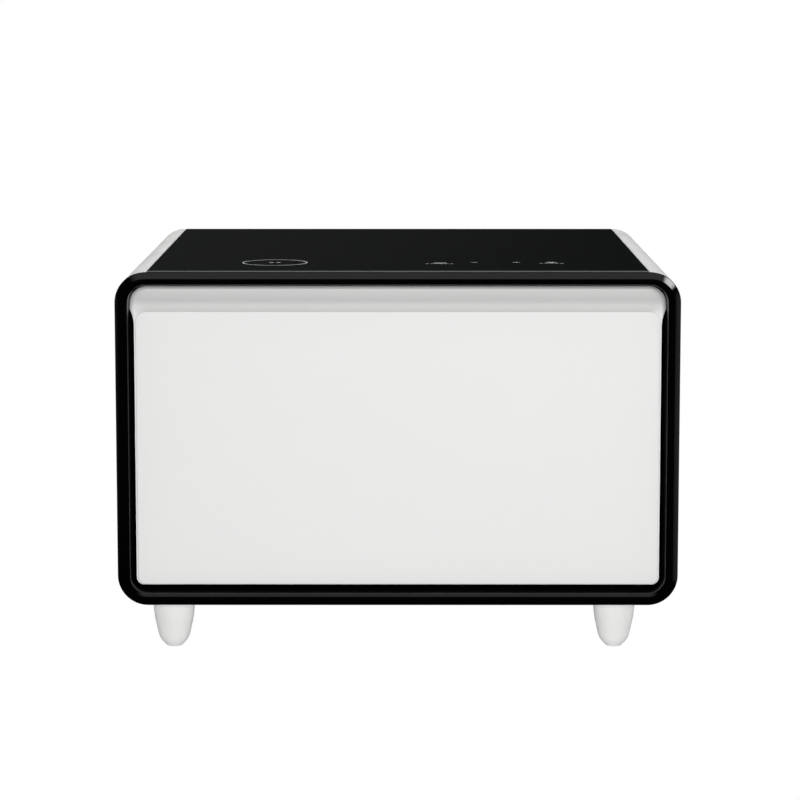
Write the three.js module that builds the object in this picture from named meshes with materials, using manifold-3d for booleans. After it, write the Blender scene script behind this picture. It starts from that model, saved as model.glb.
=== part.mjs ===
// Refrigerator coffee table: a low cabinet on four bullet legs with one insulated drawer,
// a black glass top with a charging spot and touch keys, and a cooling unit at the back.
// Millimetres. X runs right as seen from the front, Y runs back, Z runs up.
// The origin is on the floor, under the middle of the cabinet.
import * as THREE from "three";
import { mergeVertices } from "three/addons/utils/BufferGeometryUtils.js";
import Module from "manifold-3d";

const wasm = await Module();
wasm.setup();

// Overall sizes
const BODY_WIDTH = 650;
const BODY_DEPTH = 660;
const BODY_HEIGHT = 388;
const FLOOR_CLEARANCE = 66;
const CORNER_RADIUS = 35;

// Clearances
const FIT = 0.3; // between two pieces that touch
const STUD_CLEARANCE = 0.5; // round a stud in its hole
const OVERRUN = 2; // how far a cutting shape runs past what it cuts
const WELD_DISTANCE = 1e-4; // vertices this close are one

// Cabinet wrap and glass top
const WRAP_THICKNESS = 1.5;
const WRAP_FRONT_SETBACK = 12;
const GLASS_THICKNESS = 5;
const GLASS_FRONT_SETBACK = 28;
const GLASS_LEDGE = 10;
const GLASS_CHAMFER = 0.6;

// Front bezel
const BEZEL_OUTER_SLOPE = 7;
const BEZEL_RIDGE = 3.5;
const BEZEL_SLOPE_DEPTH = 8;
const TUNNEL_INSET = 15;
const TUNNEL_WALL = 2.5;

// Drawer front
const DRAWER_EDGE_GAP = 2.5;
const DRAWER_WALL_DEPTH = 38;
const PANEL_DEPTH = 18;
const PANEL_SIDE_STEP = 2.5;
const PANEL_BOTTOM_STEP = 3.5;
const PANEL_RADIUS = 10;
const PANEL_EDGE_FILLET = 5;
const LIP_FILLET = 3;
const LIP_DROP = 28.5;
const LIP_THICKNESS = 3.5;
const GRIP_GROOVE_DEPTH = 3;
const DRAWER_CORNER_RADIUS = 13;
const DRAWER_SKIN = 3;
const DRAWER_SPLIT_DEPTH = 52;
const DRAWER_LINER_WALL = 2;
const GASKET_INSET = 10;
const GASKET_WIDTH = 14;
const GASKET_THICKNESS = 9.4;
const GASKET_WAIST = 3;

// Cold compartment
const SEAL_DEPTH = 80;
const LINER_WALL = 2;
const CAVITY_SIDE_INSET = 55;
const CAVITY_TOP_INSET = 75;
const CAVITY_BOTTOM_INSET = 45;
const CAVITY_RADIUS = 12;
const BACK_INSULATION = 33;
const MACHINE_ROOM_LENGTH = 162;
const LINE_HOLE_RADIUS = 9;

// Drawer slides, brackets and bin
const SLIDE_HEIGHT = 45.7;
const SLIDE_DEPTH = 12.7;
const SLIDE_SHEET = 1.2;
const SLIDE_FRONT_GAP = 4;
const SLIDE_BACK_GAP = 5;
const BRACKET_SHEET = 2;
const BRACKET_SHELF = 26;
const BRACKET_TAB = 34;
const BIN_WALL = 2.5;
const BIN_HEADROOM = 17.4;
const BIN_DRAFT = 3;
const BIN_RADIUS = 3;
const BIN_RIM_WIDTH = 6;
const BIN_RIM_HEIGHT = 4;
const BIN_BACK_GAP = 9;
const BIN_RIB = 1.8;
const BIN_RIB_PITCH = 45;

// Legs
const LEG_RADIUS = 25.5;
const LEG_FOOT_RADIUS = 9;
const LEG_SIDE_INSET = 63.2;
const LEG_SHIFT = -4.7;
const LEG_SETBACK = 95;
const STUD_RADIUS = 4;
const STUD_LENGTH = 22;
const LEG_PLATE_SIDE = 44;
const LEG_PLATE_THICKNESS = 3;
const WELD_NUT_RADIUS = 8;
const WELD_NUT_HEIGHT = 8;
// The leg's outline: share of the radius, share of the height.
const LEG_OUTLINE_SHARES = [
  [0.53, 0.079],
  [0.64, 0.135],
  [0.703, 0.19],
  [0.745, 0.244],
  [0.808, 0.355],
  [0.898, 0.521],
  [0.95, 0.686],
  [0.982, 0.85],
  [1, 1],
];

// Tray under the glass and what it carries
const TRAY_SHEET = 2;
const TRAY_FLANGE = 20;
const TRAY_DEPTH = 18.7;
const TRAY_FRONT_GAP = 10; // behind the seal's plane
const TRAY_BACK_SETBACK = 180;
const TRAY_RIB_START = 110;
const TRAY_RIB_COUNT = 3;
const CHARGER_SIDE_INSET = 179;
const CHARGER_SETBACK = 48; // behind the front of the tray's pan
const CHARGER_RADIUS = 36;
const CHARGER_THICKNESS = 7;
const CHARGER_GROOVE = 1.5;
const CHARGER_TURNS = 2;
const KEY_BOARD_SIDE_INSET = 117;
const KEY_BOARD_WIDTH = 186;
const KEY_BOARD_SETBACK = 20;
const KEY_BOARD_LENGTH = 44;
const BOARD_THICKNESS = 1.6;
const DISPLAY_WIDTH = 32;
const DISPLAY_LENGTH = 18;
const DISPLAY_HEIGHT = 7;

// Back panel, bulkhead and power inlet
const BACK_PANEL_SETBACK = 3;
const SHEET = 1.2;
const BACK_FLANGE = 12;
const VENT_WIDTH = 60;
const VENT_HEIGHT = 6;
const VENT_PITCH = 16;
const VENT_COUNT = 8;
const VENT_LOW_GAP = 70;
const VENT_BANK_INSET = 130;
const INLET_SIDE_INSET = 60;
const INLET_LIFT = 52;
const INLET_WIDTH = 28;
const INLET_HEIGHT = 20;
const INLET_BODY = 20;
const INLET_FLANGE = 6;
const INLET_FLANGE_THICKNESS = 1.4;
const SOCKET_WIDTH = 24;
const SOCKET_HEIGHT = 16;
const SOCKET_DEPTH = 16;
const PIN_WIDTH = 2;
const PIN_HEIGHT = 4;
const PIN_LENGTH = 12;
const PIN_PITCH = 7;

// Machine base and compressor
const BASE_END_GAP = 3;
const BASE_LIP = 12;
const COMPRESSOR_SIDE_INSET = 185;
const SHELL_STRETCH_SHARE = 1.25;
const SHELL_HEIGHT = 125;
const SHELL_SEAM = 3;
const SEAM_HEIGHT_SHARE = 0.55;
const STUB_HEIGHT_SHARE = 0.62;
const FOOT_END_ROOM = 25;
const FOOT_EAR = 14.5;
const FOOT_BORDER = 2;
const FOOT_SHEET = 2.5;
const FOOT_LIFT = 6;
const FOOT_INSET = 11;
const GROMMET_RADIUS = 9;
const GROMMET_WAIST = 5.4;
const GROMMET_CAP = 3.5;
const MOUNT_PIN_RADIUS = 3;
const MOUNT_PIN_EXTRA = 1;
const TERMINAL_WIDTH = 22;
const TERMINAL_LENGTH = 44;
const TERMINAL_HEIGHT = 52;
const TERMINAL_LIFT = 34;
const STUB_RADIUS = 4;
const STUB_LENGTH = 12;
const PAN_WIDTH = 118;
const PAN_LENGTH = 96;
const PAN_HEIGHT = 20;
const PAN_WALL = 1.5;
const PAN_DRAFT = 3;
const PAN_RADIUS = 11;

// Condenser, evaporator and their fans
const TUBE_RADIUS = 3.2;
const CAPILLARY_RADIUS = 1.5;
const TUBE_BEND = 14;
const FIN_SHEET = 1;
const COIL_ROWS = 4;
const FIN_COUNT = 7;
const CONDENSER_OFFSET = 162; // from the compressor's axis
const CONDENSER_END_ROOM = 29;
const CONDENSER_THICKNESS = 48;
const CONDENSER_FAN_ROOM = 21;
const CONDENSER_FAN_GAP = 1;
const EVAPORATOR_X = -20;
const EVAPORATOR_LENGTH = 210;
const EVAPORATOR_HEIGHT_SHARE = 0.314; // these four are shares of the compartment's height
const EVAPORATOR_LIFT_SHARE = 0.15;
const EVAPORATOR_FAN_SHARE = 0.344;
const EVAPORATOR_FAN_LIFT_SHARE = 0.768;
const EVAPORATOR_THICKNESS = 24;
const COVER_SPACE = 40; // between the cover and the compartment's back wall
const COVER_SHEET = 2;
const GRILLE_SLOT = 4;
const GRILLE_PITCH = 9;
const GRILLE_COUNT = 8;
const INTAKE_COUNT = 10;
const INTAKE_SPACES = 14; // equal spaces across the compartment
const INTAKE_WIDTH = 8;
const INTAKE_HEIGHT = 34;
const FAN_DEPTH = 25;
const FAN_WALL = 3;
const FAN_TIP_CLEARANCE = 2;
const FAN_MOUNT = 4;
const FAN_STRUT = 5;
const BLADE_COUNT = 7;
const BLADE_SHEET = 1.6;
const BLADE_ROOT_PITCH = THREE.MathUtils.degToRad(56);
const BLADE_TIP_PITCH = THREE.MathUtils.degToRad(26);
const HUB_SHARE = 0.36;
const BLADE_CHORD_SHARE = 0.5;

// Drier, electronics and lamp
const DRIER_OFFSET = 70; // from the condenser's middle
const DRIER_RADIUS = 9.5;
const DRIER_LENGTH = 96;
const DRIER_NECK = 12;
const DRIER_LIFT = 34;
const SUPPLY_SIDE_INSET = 21;
const SUPPLY_LENGTH = 46;
const SUPPLY_HEIGHT_SHARE = 0.18; // these four are shares of the body's height
const SUPPLY_LIFT_SHARE = 0.32;
const CONTROL_LIFT_SHARE = 0.58;
const CONTROL_HEIGHT_SHARE = 0.237;
const STANDOFF = 8;
const STANDOFF_RADIUS = 3;
const CHIP_HEIGHT = 12;
const LAMP_WIDTH = 130;
const LAMP_LENGTH = 16;
const LAMP_HEIGHT = 7;
const LAMP_SETBACK = 60;

// Facets
const CORNER_STEPS = 5;
const ROUND_SIDES = 16;
const LEG_SIDES = 20;
const GROMMET_SIDES = 10;
const COIL_SIDES = 5;
const TUBE_STEPS = 40;
const DOME_STEPS = 4;
const NUT_SIDES = 6;
const BLADE_STATIONS = 2;
const TUBE_STEP_RADII = 6;
const TUBE_SIDES = 6;

// Finishes: colour, roughness, metalness
const FINISHES = {
  white_enamel: { color: "#f0f0ef", roughness: 0.3, metalness: 0.1 },
  white_plastic: { color: "#f2f2f0", roughness: 0.35, metalness: 0 },
  black_gloss: { color: "#0b0b0c", roughness: 0.12, metalness: 0 },
  black_glass: { color: "#07080a", roughness: 0.04, metalness: 0 },
  foam: { color: "#e6d9a8", roughness: 0.95, metalness: 0 },
  bare_steel: { color: "#a9adb0", roughness: 0.4, metalness: 0.9 },
  black_enamel: { color: "#17181a", roughness: 0.45, metalness: 0.3 },
  copper: { color: "#b87445", roughness: 0.3, metalness: 1 },
  fins: { color: "#c9cccf", roughness: 0.4, metalness: 0.9 },
  rubber: { color: "#1a1a1a", roughness: 0.85, metalness: 0 },
  grey_rubber: { color: "#c9c9c6", roughness: 0.75, metalness: 0 },
  board: { color: "#1c5a36", roughness: 0.5, metalness: 0 },
  black_plastic: { color: "#161617", roughness: 0.6, metalness: 0 },
  lamp_lens: { color: "#f4f6f4", roughness: 0.2, metalness: 0 },
};

// Places worked out from the sizes above
const HALF_WIDTH = BODY_WIDTH / 2;
const BOTTOM_Z = FLOOR_CLEARANCE;
const TOP_Z = FLOOR_CLEARANCE + BODY_HEIGHT;
const GLASS_BOTTOM_Z = TOP_Z - GLASS_THICKNESS;
const GLASS_SEAT_Z = GLASS_BOTTOM_Z - FIT;
const TRAY_BOTTOM_Z = GLASS_SEAT_Z - TRAY_SHEET;
const FLAT_HALF_WIDTH = HALF_WIDTH - CORNER_RADIUS;
const CAVITY = {
  halfWidth: HALF_WIDTH - CAVITY_SIDE_INSET,
  bottom: BOTTOM_Z + CAVITY_BOTTOM_INSET,
  top: TOP_Z - CAVITY_TOP_INSET,
};
const CAVITY_HEIGHT = CAVITY.top - CAVITY.bottom;
const MACHINE_ROOM_DEPTH = BODY_DEPTH - MACHINE_ROOM_LENGTH;
const MACHINE_MID_DEPTH = BODY_DEPTH - MACHINE_ROOM_LENGTH / 2;
const CAVITY_BACK_DEPTH = MACHINE_ROOM_DEPTH - BACK_INSULATION;
const COVER_DEPTH = CAVITY_BACK_DEPTH - COVER_SPACE;
const BACK_PANEL_DEPTH = BODY_DEPTH - BACK_PANEL_SETBACK;
const INLET_X = INLET_SIDE_INSET - HALF_WIDTH;
const INLET_Z = BOTTOM_Z + INLET_LIFT;
const MACHINE_BASE_TOP_Z = BOTTOM_Z + WRAP_THICKNESS + FIT + SHEET;
const COMPRESSOR_X = HALF_WIDTH - COMPRESSOR_SIDE_INSET;
const CONDENSER_X = COMPRESSOR_X - CONDENSER_OFFSET;
const DRIER_X = CONDENSER_X - DRIER_OFFSET;

// Y of a place that lies the given depth behind the front ridge of the bezel.
function atDepth(depth) {
  return depth - BODY_DEPTH / 2;
}

// Joining and cutting
function toSolid(geometry) {
  const bare = geometry.clone();
  bare.deleteAttribute("normal");
  bare.deleteAttribute("uv");
  const merged = mergeVertices(bare, WELD_DISTANCE);
  return new wasm.Manifold(
    new wasm.Mesh({
      numProp: 3,
      vertProperties: merged.attributes.position.array,
      triVerts: new Uint32Array(merged.index.array),
    }),
  );
}

function toGeometry(solid) {
  const mesh = solid.getMesh();
  const geometry = new THREE.BufferGeometry();
  geometry.setAttribute("position", new THREE.BufferAttribute(mesh.vertProperties, mesh.numProp));
  geometry.setIndex(new THREE.BufferAttribute(mesh.triVerts, 1));
  return geometry;
}

function joined(first, ...others) {
  let solid = toSolid(first);
  for (const other of others) solid = solid.add(toSolid(other));
  return toGeometry(solid);
}

function cut(body, ...tools) {
  let solid = toSolid(body);
  for (const tool of tools) solid = solid.subtract(toSolid(tool));
  return toGeometry(solid);
}

// Basic shapes
function box(left, right, front, back, bottom, top) {
  const geometry = new THREE.BoxGeometry(right - left, back - front, top - bottom);
  return geometry.translate((left + right) / 2, (front + back) / 2, (bottom + top) / 2);
}

function roundedOutline(left, right, bottom, top, radius, steps = CORNER_STEPS) {
  const limit = Math.max(Math.min(radius, (right - left) / 2, (top - bottom) / 2), FIT);
  const corners = [
    [right - limit, bottom + limit, -Math.PI / 2],
    [right - limit, top - limit, 0],
    [left + limit, top - limit, Math.PI / 2],
    [left + limit, bottom + limit, Math.PI],
  ];
  const points = [];
  for (const [x, z, start] of corners) {
    for (let step = 0; step <= steps; step++) {
      const angle = start + ((step / steps) * Math.PI) / 2;
      points.push(new THREE.Vector2(x + limit * Math.cos(angle), z + limit * Math.sin(angle)));
    }
  }
  return points;
}

// The cabinet's own outline, seen from the front, drawn in by an inset.
function bodyOutline(inset) {
  return roundedOutline(
    inset - HALF_WIDTH,
    HALF_WIDTH - inset,
    BOTTOM_Z + inset,
    TOP_Z - inset,
    CORNER_RADIUS - inset,
  );
}

function extrude(points, length) {
  return new THREE.ExtrudeGeometry(new THREE.Shape(points), { depth: length, bevelEnabled: false });
}

// An outline of (x, z) points run from one Y to another.
function prismAlongY(points, front, back) {
  return extrude(points, back - front)
    .rotateX(Math.PI / 2)
    .translate(0, back, 0);
}

// An outline of (y, z) points run from one X to another.
function prismAlongX(points, left, right) {
  const turn = new THREE.Matrix4().makeBasis(
    new THREE.Vector3(0, 1, 0),
    new THREE.Vector3(0, 0, 1),
    new THREE.Vector3(1, 0, 0),
  );
  return extrude(points, right - left)
    .applyMatrix4(turn)
    .translate(left, 0, 0);
}

// An outline of (x, y) points run from one Z to another.
function prismAlongZ(points, bottom, top) {
  return extrude(points, top - bottom).translate(0, 0, bottom);
}

function rodAlongZ(radius, x, y, bottom, top, sides = ROUND_SIDES) {
  return new THREE.CylinderGeometry(radius, radius, top - bottom, sides)
    .rotateX(Math.PI / 2)
    .translate(x, y, (bottom + top) / 2);
}

function rodAlongY(radius, x, z, front, back, sides = ROUND_SIDES) {
  return new THREE.CylinderGeometry(radius, radius, back - front, sides).translate(
    x,
    (front + back) / 2,
    z,
  );
}

function rodAlongX(radius, y, z, left, right, sides = ROUND_SIDES) {
  return new THREE.CylinderGeometry(radius, radius, right - left, sides)
    .rotateZ(Math.PI / 2)
    .translate((left + right) / 2, y, z);
}

// A profile of [radius, height] points, rising on the outside, turned about Z.
function turned(profile, sides = ROUND_SIDES) {
  const points = profile.map(([radius, height]) => new THREE.Vector2(radius, height));
  return new THREE.LatheGeometry(points, sides).rotateX(Math.PI / 2);
}

// A skin over rings of points. Open at the ends it is capped, looped it meets itself.
function skin(rings, looped) {
  const count = rings[0].length;
  const faces = [];
  const spans = looped ? rings.length : rings.length - 1;
  for (let ring = 0; ring < spans; ring++) {
    const here = ring * count;
    const next = ((ring + 1) % rings.length) * count;
    for (let point = 0; point < count; point++) {
      const beside = (point + 1) % count;
      faces.push(here + point, here + beside, next + beside);
      faces.push(here + point, next + beside, next + point);
    }
  }
  if (!looped) {
    const last = (rings.length - 1) * count;
    for (let point = 1; point < count - 1; point++) {
      faces.push(0, point + 1, point);
      faces.push(last, last + point, last + point + 1);
    }
  }
  const geometry = new THREE.BufferGeometry();
  geometry.setFromPoints(rings.flat());
  geometry.setIndex(faces);
  return geometry;
}

// A frame round the front opening: a profile of [inset, depth] swept round an outline.
// The profile runs so that its outside comes first on the way back.
function sweptFrame(profile, outlineAt) {
  const rings = profile.map(([inset, depth]) =>
    outlineAt(inset).map((point) => new THREE.Vector3(point.x, atDepth(depth), point.y)),
  );
  return skin(rings, true);
}

// A tube with round bends through straight-line corners.
function bentTube(corners, radius, bend = TUBE_BEND, sides = TUBE_SIDES) {
  const path = new THREE.CurvePath();
  let from = corners[0].clone();
  for (let index = 1; index < corners.length - 1; index++) {
    const corner = corners[index];
    const before = corner.clone().sub(from);
    const after = corners[index + 1].clone().sub(corner);
    const reach = Math.min(bend, before.length() / 2, after.length() / 2);
    const entry = corner.clone().sub(before.setLength(reach));
    const exit = corner.clone().add(after.setLength(reach));
    path.add(new THREE.LineCurve3(from, entry));
    path.add(new THREE.QuadraticBezierCurve3(entry, corner, exit));
    from = exit;
  }
  path.add(new THREE.LineCurve3(from, corners[corners.length - 1]));
  const section = new THREE.Shape();
  for (let side = 0; side < sides; side++) {
    const angle = (side / sides) * Math.PI * 2;
    const x = radius * Math.cos(angle);
    const y = radius * Math.sin(angle);
    if (side === 0) section.moveTo(x, y);
    else section.lineTo(x, y);
  }
  const step = radius * TUBE_STEP_RADII;
  const steps = Math.min(Math.ceil(path.getLength() / step), TUBE_STEPS);
  return new THREE.ExtrudeGeometry(section, { steps, bevelEnabled: false, extrudePath: path });
}

// The scene graph: one group for the cabinet, one for the drawer and one for the cooling unit
const table = new THREE.Group();
const cabinet = new THREE.Group();
const drawer = new THREE.Group();
const cooling = new THREE.Group();
table.add(cabinet, drawer, cooling);

function place(parent, name, geometry, finish, position = [0, 0, 0], rotation = [0, 0, 0]) {
  const material = new THREE.MeshStandardMaterial({ ...FINISHES[finish], flatShading: true });
  const mesh = new THREE.Mesh(geometry, material);
  mesh.name = name;
  mesh.position.set(...position);
  mesh.rotation.set(...rotation);
  parent.add(mesh);
  return mesh;
}

// Leg places, shared by the legs, their plates and the holes for their studs
const LEG_PLACES = [];
for (const [end, depth] of [
  ["front", LEG_SETBACK],
  ["rear", BODY_DEPTH - LEG_SETBACK],
]) {
  for (const [side, sign] of [
    ["left", -1],
    ["right", 1],
  ]) {
    LEG_PLACES.push({
      name: `${end}_${side}`,
      x: LEG_SHIFT + sign * (HALF_WIDTH - LEG_SIDE_INSET),
      y: atDepth(depth),
      inMachineRoom: depth > MACHINE_ROOM_DEPTH,
    });
  }
}

function studHoles(bottom, top, places = LEG_PLACES) {
  return places.map((leg) =>
    rodAlongZ(STUD_RADIUS + STUD_CLEARANCE, leg.x, leg.y, bottom, top),
  );
}

// Cabinet wrap: one folded sheet of steel, with a ledge under each side of the glass
function wrapHalf(thickness) {
  const inner = CORNER_RADIUS - thickness;
  const start = Math.PI / 2 + Math.asin(thickness / inner);
  const edge = -FLAT_HALF_WIDTH - thickness;
  const points = [
    new THREE.Vector2(GLASS_LEDGE - FLAT_HALF_WIDTH, GLASS_SEAT_Z - thickness),
    new THREE.Vector2(edge, GLASS_SEAT_Z - thickness),
  ];
  for (let step = 0; step <= CORNER_STEPS; step++) {
    const angle = THREE.MathUtils.lerp(start, Math.PI, step / CORNER_STEPS);
    const x = -FLAT_HALF_WIDTH + inner * Math.cos(angle);
    const z = TOP_Z - CORNER_RADIUS + inner * Math.sin(angle);
    points.push(new THREE.Vector2(x, z));
  }
  for (let step = 0; step <= CORNER_STEPS; step++) {
    const angle = Math.PI + ((step / CORNER_STEPS) * Math.PI) / 2;
    const x = -FLAT_HALF_WIDTH + inner * Math.cos(angle);
    const z = BOTTOM_Z + CORNER_RADIUS + inner * Math.sin(angle);
    points.push(new THREE.Vector2(x, z));
  }
  return points;
}

function mirrored(points) {
  return points.map((point) => new THREE.Vector2(-point.x, point.y)).reverse();
}

function cabinetWrap() {
  const outside = wrapHalf(0);
  const inside = wrapHalf(WRAP_THICKNESS);
  const outline = [
    ...outside,
    ...mirrored(outside),
    ...mirrored([...inside].reverse()),
    ...[...inside].reverse(),
  ];
  const sheet = prismAlongY(outline, atDepth(WRAP_FRONT_SETBACK + FIT), atDepth(BODY_DEPTH));
  return cut(sheet, ...studHoles(BOTTOM_Z - OVERRUN, BOTTOM_Z + WRAP_THICKNESS + OVERRUN));
}

place(cabinet, "cabinet_wrap", cabinetWrap(), "white_enamel");

// Front bezel: sloped faces to a narrow ridge, the tunnel round the drawer and the strip at the glass
function frontBezel() {
  const ring = sweptFrame(
    [
      [0, BEZEL_SLOPE_DEPTH],
      [BEZEL_OUTER_SLOPE, 0],
      [BEZEL_OUTER_SLOPE + BEZEL_RIDGE, 0],
      [TUNNEL_INSET, BEZEL_SLOPE_DEPTH],
      [TUNNEL_INSET, SEAL_DEPTH - FIT],
      [TUNNEL_INSET - TUNNEL_WALL, SEAL_DEPTH - FIT],
      [TUNNEL_INSET - TUNNEL_WALL, WRAP_FRONT_SETBACK],
      [0, WRAP_FRONT_SETBACK],
    ],
    bodyOutline,
  );
  const strip = box(
    FIT - FLAT_HALF_WIDTH,
    FLAT_HALF_WIDTH - FIT,
    atDepth(BEZEL_SLOPE_DEPTH),
    atDepth(GLASS_FRONT_SETBACK - FIT),
    GLASS_BOTTOM_Z,
    TOP_Z,
  );
  return joined(ring, strip);
}

place(cabinet, "front_bezel", frontBezel(), "black_gloss");

// Glass top: a flat pane with its four upper edges ground to a chamfer
function glassTop() {
  const halfWidth = FLAT_HALF_WIDTH - FIT;
  const front = atDepth(GLASS_FRONT_SETBACK);
  const back = atDepth(BODY_DEPTH);
  const ringAt = (inset, z) => [
    new THREE.Vector3(inset - halfWidth, front + inset, z),
    new THREE.Vector3(halfWidth - inset, front + inset, z),
    new THREE.Vector3(halfWidth - inset, back - inset, z),
    new THREE.Vector3(inset - halfWidth, back - inset, z),
  ];
  return skin(
    [
      ringAt(0, GLASS_BOTTOM_Z),
      ringAt(0, TOP_Z - GLASS_CHAMFER),
      ringAt(GLASS_CHAMFER, TOP_Z),
    ],
    false,
  );
}

place(cabinet, "glass_top", glassTop(), "black_glass");

// The space that the tray, the glass and the wrap's ledges take at the top of the cabinet
function topRecess(front, back) {
  const halfWidth = FLAT_HALF_WIDTH + WRAP_THICKNESS + FIT;
  return box(-halfWidth, halfWidth, front, back, TRAY_BOTTOM_Z - FIT, TOP_Z + OVERRUN);
}

// Tray: carries the glass, the charger and the key board
const TRAY_HALF_WIDTH = FLAT_HALF_WIDTH - GLASS_LEDGE - FIT;
const TRAY_PAN_HALF_WIDTH = TRAY_HALF_WIDTH - TRAY_FLANGE;
const TRAY_FLOOR_Z = GLASS_SEAT_Z - TRAY_DEPTH + TRAY_SHEET;
const TRAY_FRONT_DEPTH = SEAL_DEPTH + TRAY_FRONT_GAP;
const TRAY_BACK_DEPTH = BODY_DEPTH - TRAY_BACK_SETBACK;
const TRAY_RIB_PITCH = (TRAY_BACK_DEPTH - TRAY_FRONT_DEPTH - TRAY_RIB_START) / TRAY_RIB_COUNT;
const CHARGER_X = CHARGER_SIDE_INSET - HALF_WIDTH;
const CHARGER_DEPTH = TRAY_FRONT_DEPTH + CHARGER_SETBACK;
const KEY_BOARD_RIGHT_X = HALF_WIDTH - KEY_BOARD_SIDE_INSET;
const KEY_BOARD_LEFT_X = KEY_BOARD_RIGHT_X - KEY_BOARD_WIDTH;
const KEY_BOARD_FRONT_DEPTH = TRAY_FRONT_DEPTH + KEY_BOARD_SETBACK;
const DISPLAY_X = (KEY_BOARD_LEFT_X + KEY_BOARD_RIGHT_X) / 2;
const DISPLAY_FRONT_DEPTH = KEY_BOARD_FRONT_DEPTH + KEY_BOARD_LENGTH / 2;

function topTray() {
  const flange = box(
    -TRAY_HALF_WIDTH,
    TRAY_HALF_WIDTH,
    atDepth(WRAP_FRONT_SETBACK + FIT),
    atDepth(BODY_DEPTH) - FIT,
    TRAY_BOTTOM_Z,
    GLASS_SEAT_Z,
  );
  const pan = box(
    -TRAY_PAN_HALF_WIDTH,
    TRAY_PAN_HALF_WIDTH,
    atDepth(TRAY_FRONT_DEPTH),
    atDepth(TRAY_BACK_DEPTH),
    GLASS_SEAT_Z - TRAY_DEPTH,
    GLASS_SEAT_Z,
  );
  const hollow = box(
    TRAY_SHEET - TRAY_PAN_HALF_WIDTH,
    TRAY_PAN_HALF_WIDTH - TRAY_SHEET,
    atDepth(TRAY_FRONT_DEPTH) + TRAY_SHEET,
    atDepth(TRAY_BACK_DEPTH) - TRAY_SHEET,
    TRAY_FLOOR_Z,
    GLASS_SEAT_Z + OVERRUN,
  );
  const root = TRAY_FLOOR_Z - TRAY_SHEET / 2;
  const chargerSeat = rodAlongZ(
    CHARGER_RADIUS - TRAY_SHEET,
    CHARGER_X,
    atDepth(CHARGER_DEPTH),
    root,
    GLASS_SEAT_Z - CHARGER_THICKNESS - FIT,
  );
  const boardSeats = [KEY_BOARD_LEFT_X + TRAY_SHEET, KEY_BOARD_RIGHT_X - 2 * TRAY_SHEET].map((x) =>
    box(
      x,
      x + TRAY_SHEET,
      atDepth(KEY_BOARD_FRONT_DEPTH),
      atDepth(KEY_BOARD_FRONT_DEPTH + KEY_BOARD_LENGTH),
      root,
      GLASS_SEAT_Z - BOARD_THICKNESS - FIT,
    ),
  );
  const displaySeat = box(
    DISPLAY_X - DISPLAY_WIDTH / 2,
    DISPLAY_X + DISPLAY_WIDTH / 2,
    atDepth(DISPLAY_FRONT_DEPTH),
    atDepth(DISPLAY_FRONT_DEPTH + DISPLAY_LENGTH),
    root,
    GLASS_SEAT_Z - DISPLAY_HEIGHT - FIT,
  );
  const ribs = [];
  for (let index = 0; index < TRAY_RIB_COUNT; index++) {
    const y = atDepth(TRAY_FRONT_DEPTH + TRAY_RIB_START + index * TRAY_RIB_PITCH);
    ribs.push(
      box(-TRAY_PAN_HALF_WIDTH, TRAY_PAN_HALF_WIDTH, y, y + TRAY_SHEET, root, GLASS_SEAT_Z),
    );
  }
  const spine = box(
    -TRAY_SHEET / 2,
    TRAY_SHEET / 2,
    atDepth(TRAY_FRONT_DEPTH + TRAY_RIB_START),
    atDepth(TRAY_BACK_DEPTH) - TRAY_SHEET / 2,
    root,
    GLASS_SEAT_Z,
  );
  const shell = cut(joined(flange, pan), hollow);
  return joined(shell, chargerSeat, ...boardSeats, displaySeat, ...ribs, spine);
}

place(cabinet, "top_tray", topTray(), "black_plastic");

// Wireless charger: a puck with the coil's turns as grooves in its upper face
function wirelessCharger() {
  const pitch = CHARGER_RADIUS / (2 * CHARGER_TURNS + 1);
  const profile = [
    [0, 0],
    [CHARGER_RADIUS, 0],
    [CHARGER_RADIUS, CHARGER_THICKNESS],
  ];
  for (let turn = CHARGER_TURNS; turn > 0; turn--) {
    const outer = pitch * 2 * turn;
    profile.push([outer, CHARGER_THICKNESS], [outer, CHARGER_THICKNESS - CHARGER_GROOVE]);
    profile.push([outer - pitch, CHARGER_THICKNESS - CHARGER_GROOVE]);
    profile.push([outer - pitch, CHARGER_THICKNESS]);
  }
  profile.push([0, CHARGER_THICKNESS]);
  return turned(profile);
}

place(cabinet, "wireless_charger", wirelessCharger(), "black_plastic", [
  CHARGER_X,
  atDepth(CHARGER_DEPTH),
  GLASS_SEAT_Z - CHARGER_THICKNESS,
]);

// Key board with a window for the display, both against the glass
function keyBoard() {
  const board = box(
    KEY_BOARD_LEFT_X,
    KEY_BOARD_RIGHT_X,
    atDepth(KEY_BOARD_FRONT_DEPTH),
    atDepth(KEY_BOARD_FRONT_DEPTH + KEY_BOARD_LENGTH),
    GLASS_SEAT_Z - BOARD_THICKNESS,
    GLASS_SEAT_Z,
  );
  const half = DISPLAY_WIDTH / 2 + FIT;
  const window = box(
    DISPLAY_X - half,
    DISPLAY_X + half,
    atDepth(DISPLAY_FRONT_DEPTH) - FIT,
    atDepth(DISPLAY_FRONT_DEPTH + DISPLAY_LENGTH) + FIT,
    GLASS_SEAT_Z - BOARD_THICKNESS - OVERRUN,
    GLASS_SEAT_Z + OVERRUN,
  );
  return cut(board, window);
}

place(cabinet, "key_board", keyBoard(), "board");
place(
  cabinet,
  "temperature_display",
  box(
    DISPLAY_X - DISPLAY_WIDTH / 2,
    DISPLAY_X + DISPLAY_WIDTH / 2,
    atDepth(DISPLAY_FRONT_DEPTH),
    atDepth(DISPLAY_FRONT_DEPTH + DISPLAY_LENGTH),
    GLASS_SEAT_Z - DISPLAY_HEIGHT,
    GLASS_SEAT_Z,
  ),
  "black_plastic",
);

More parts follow.
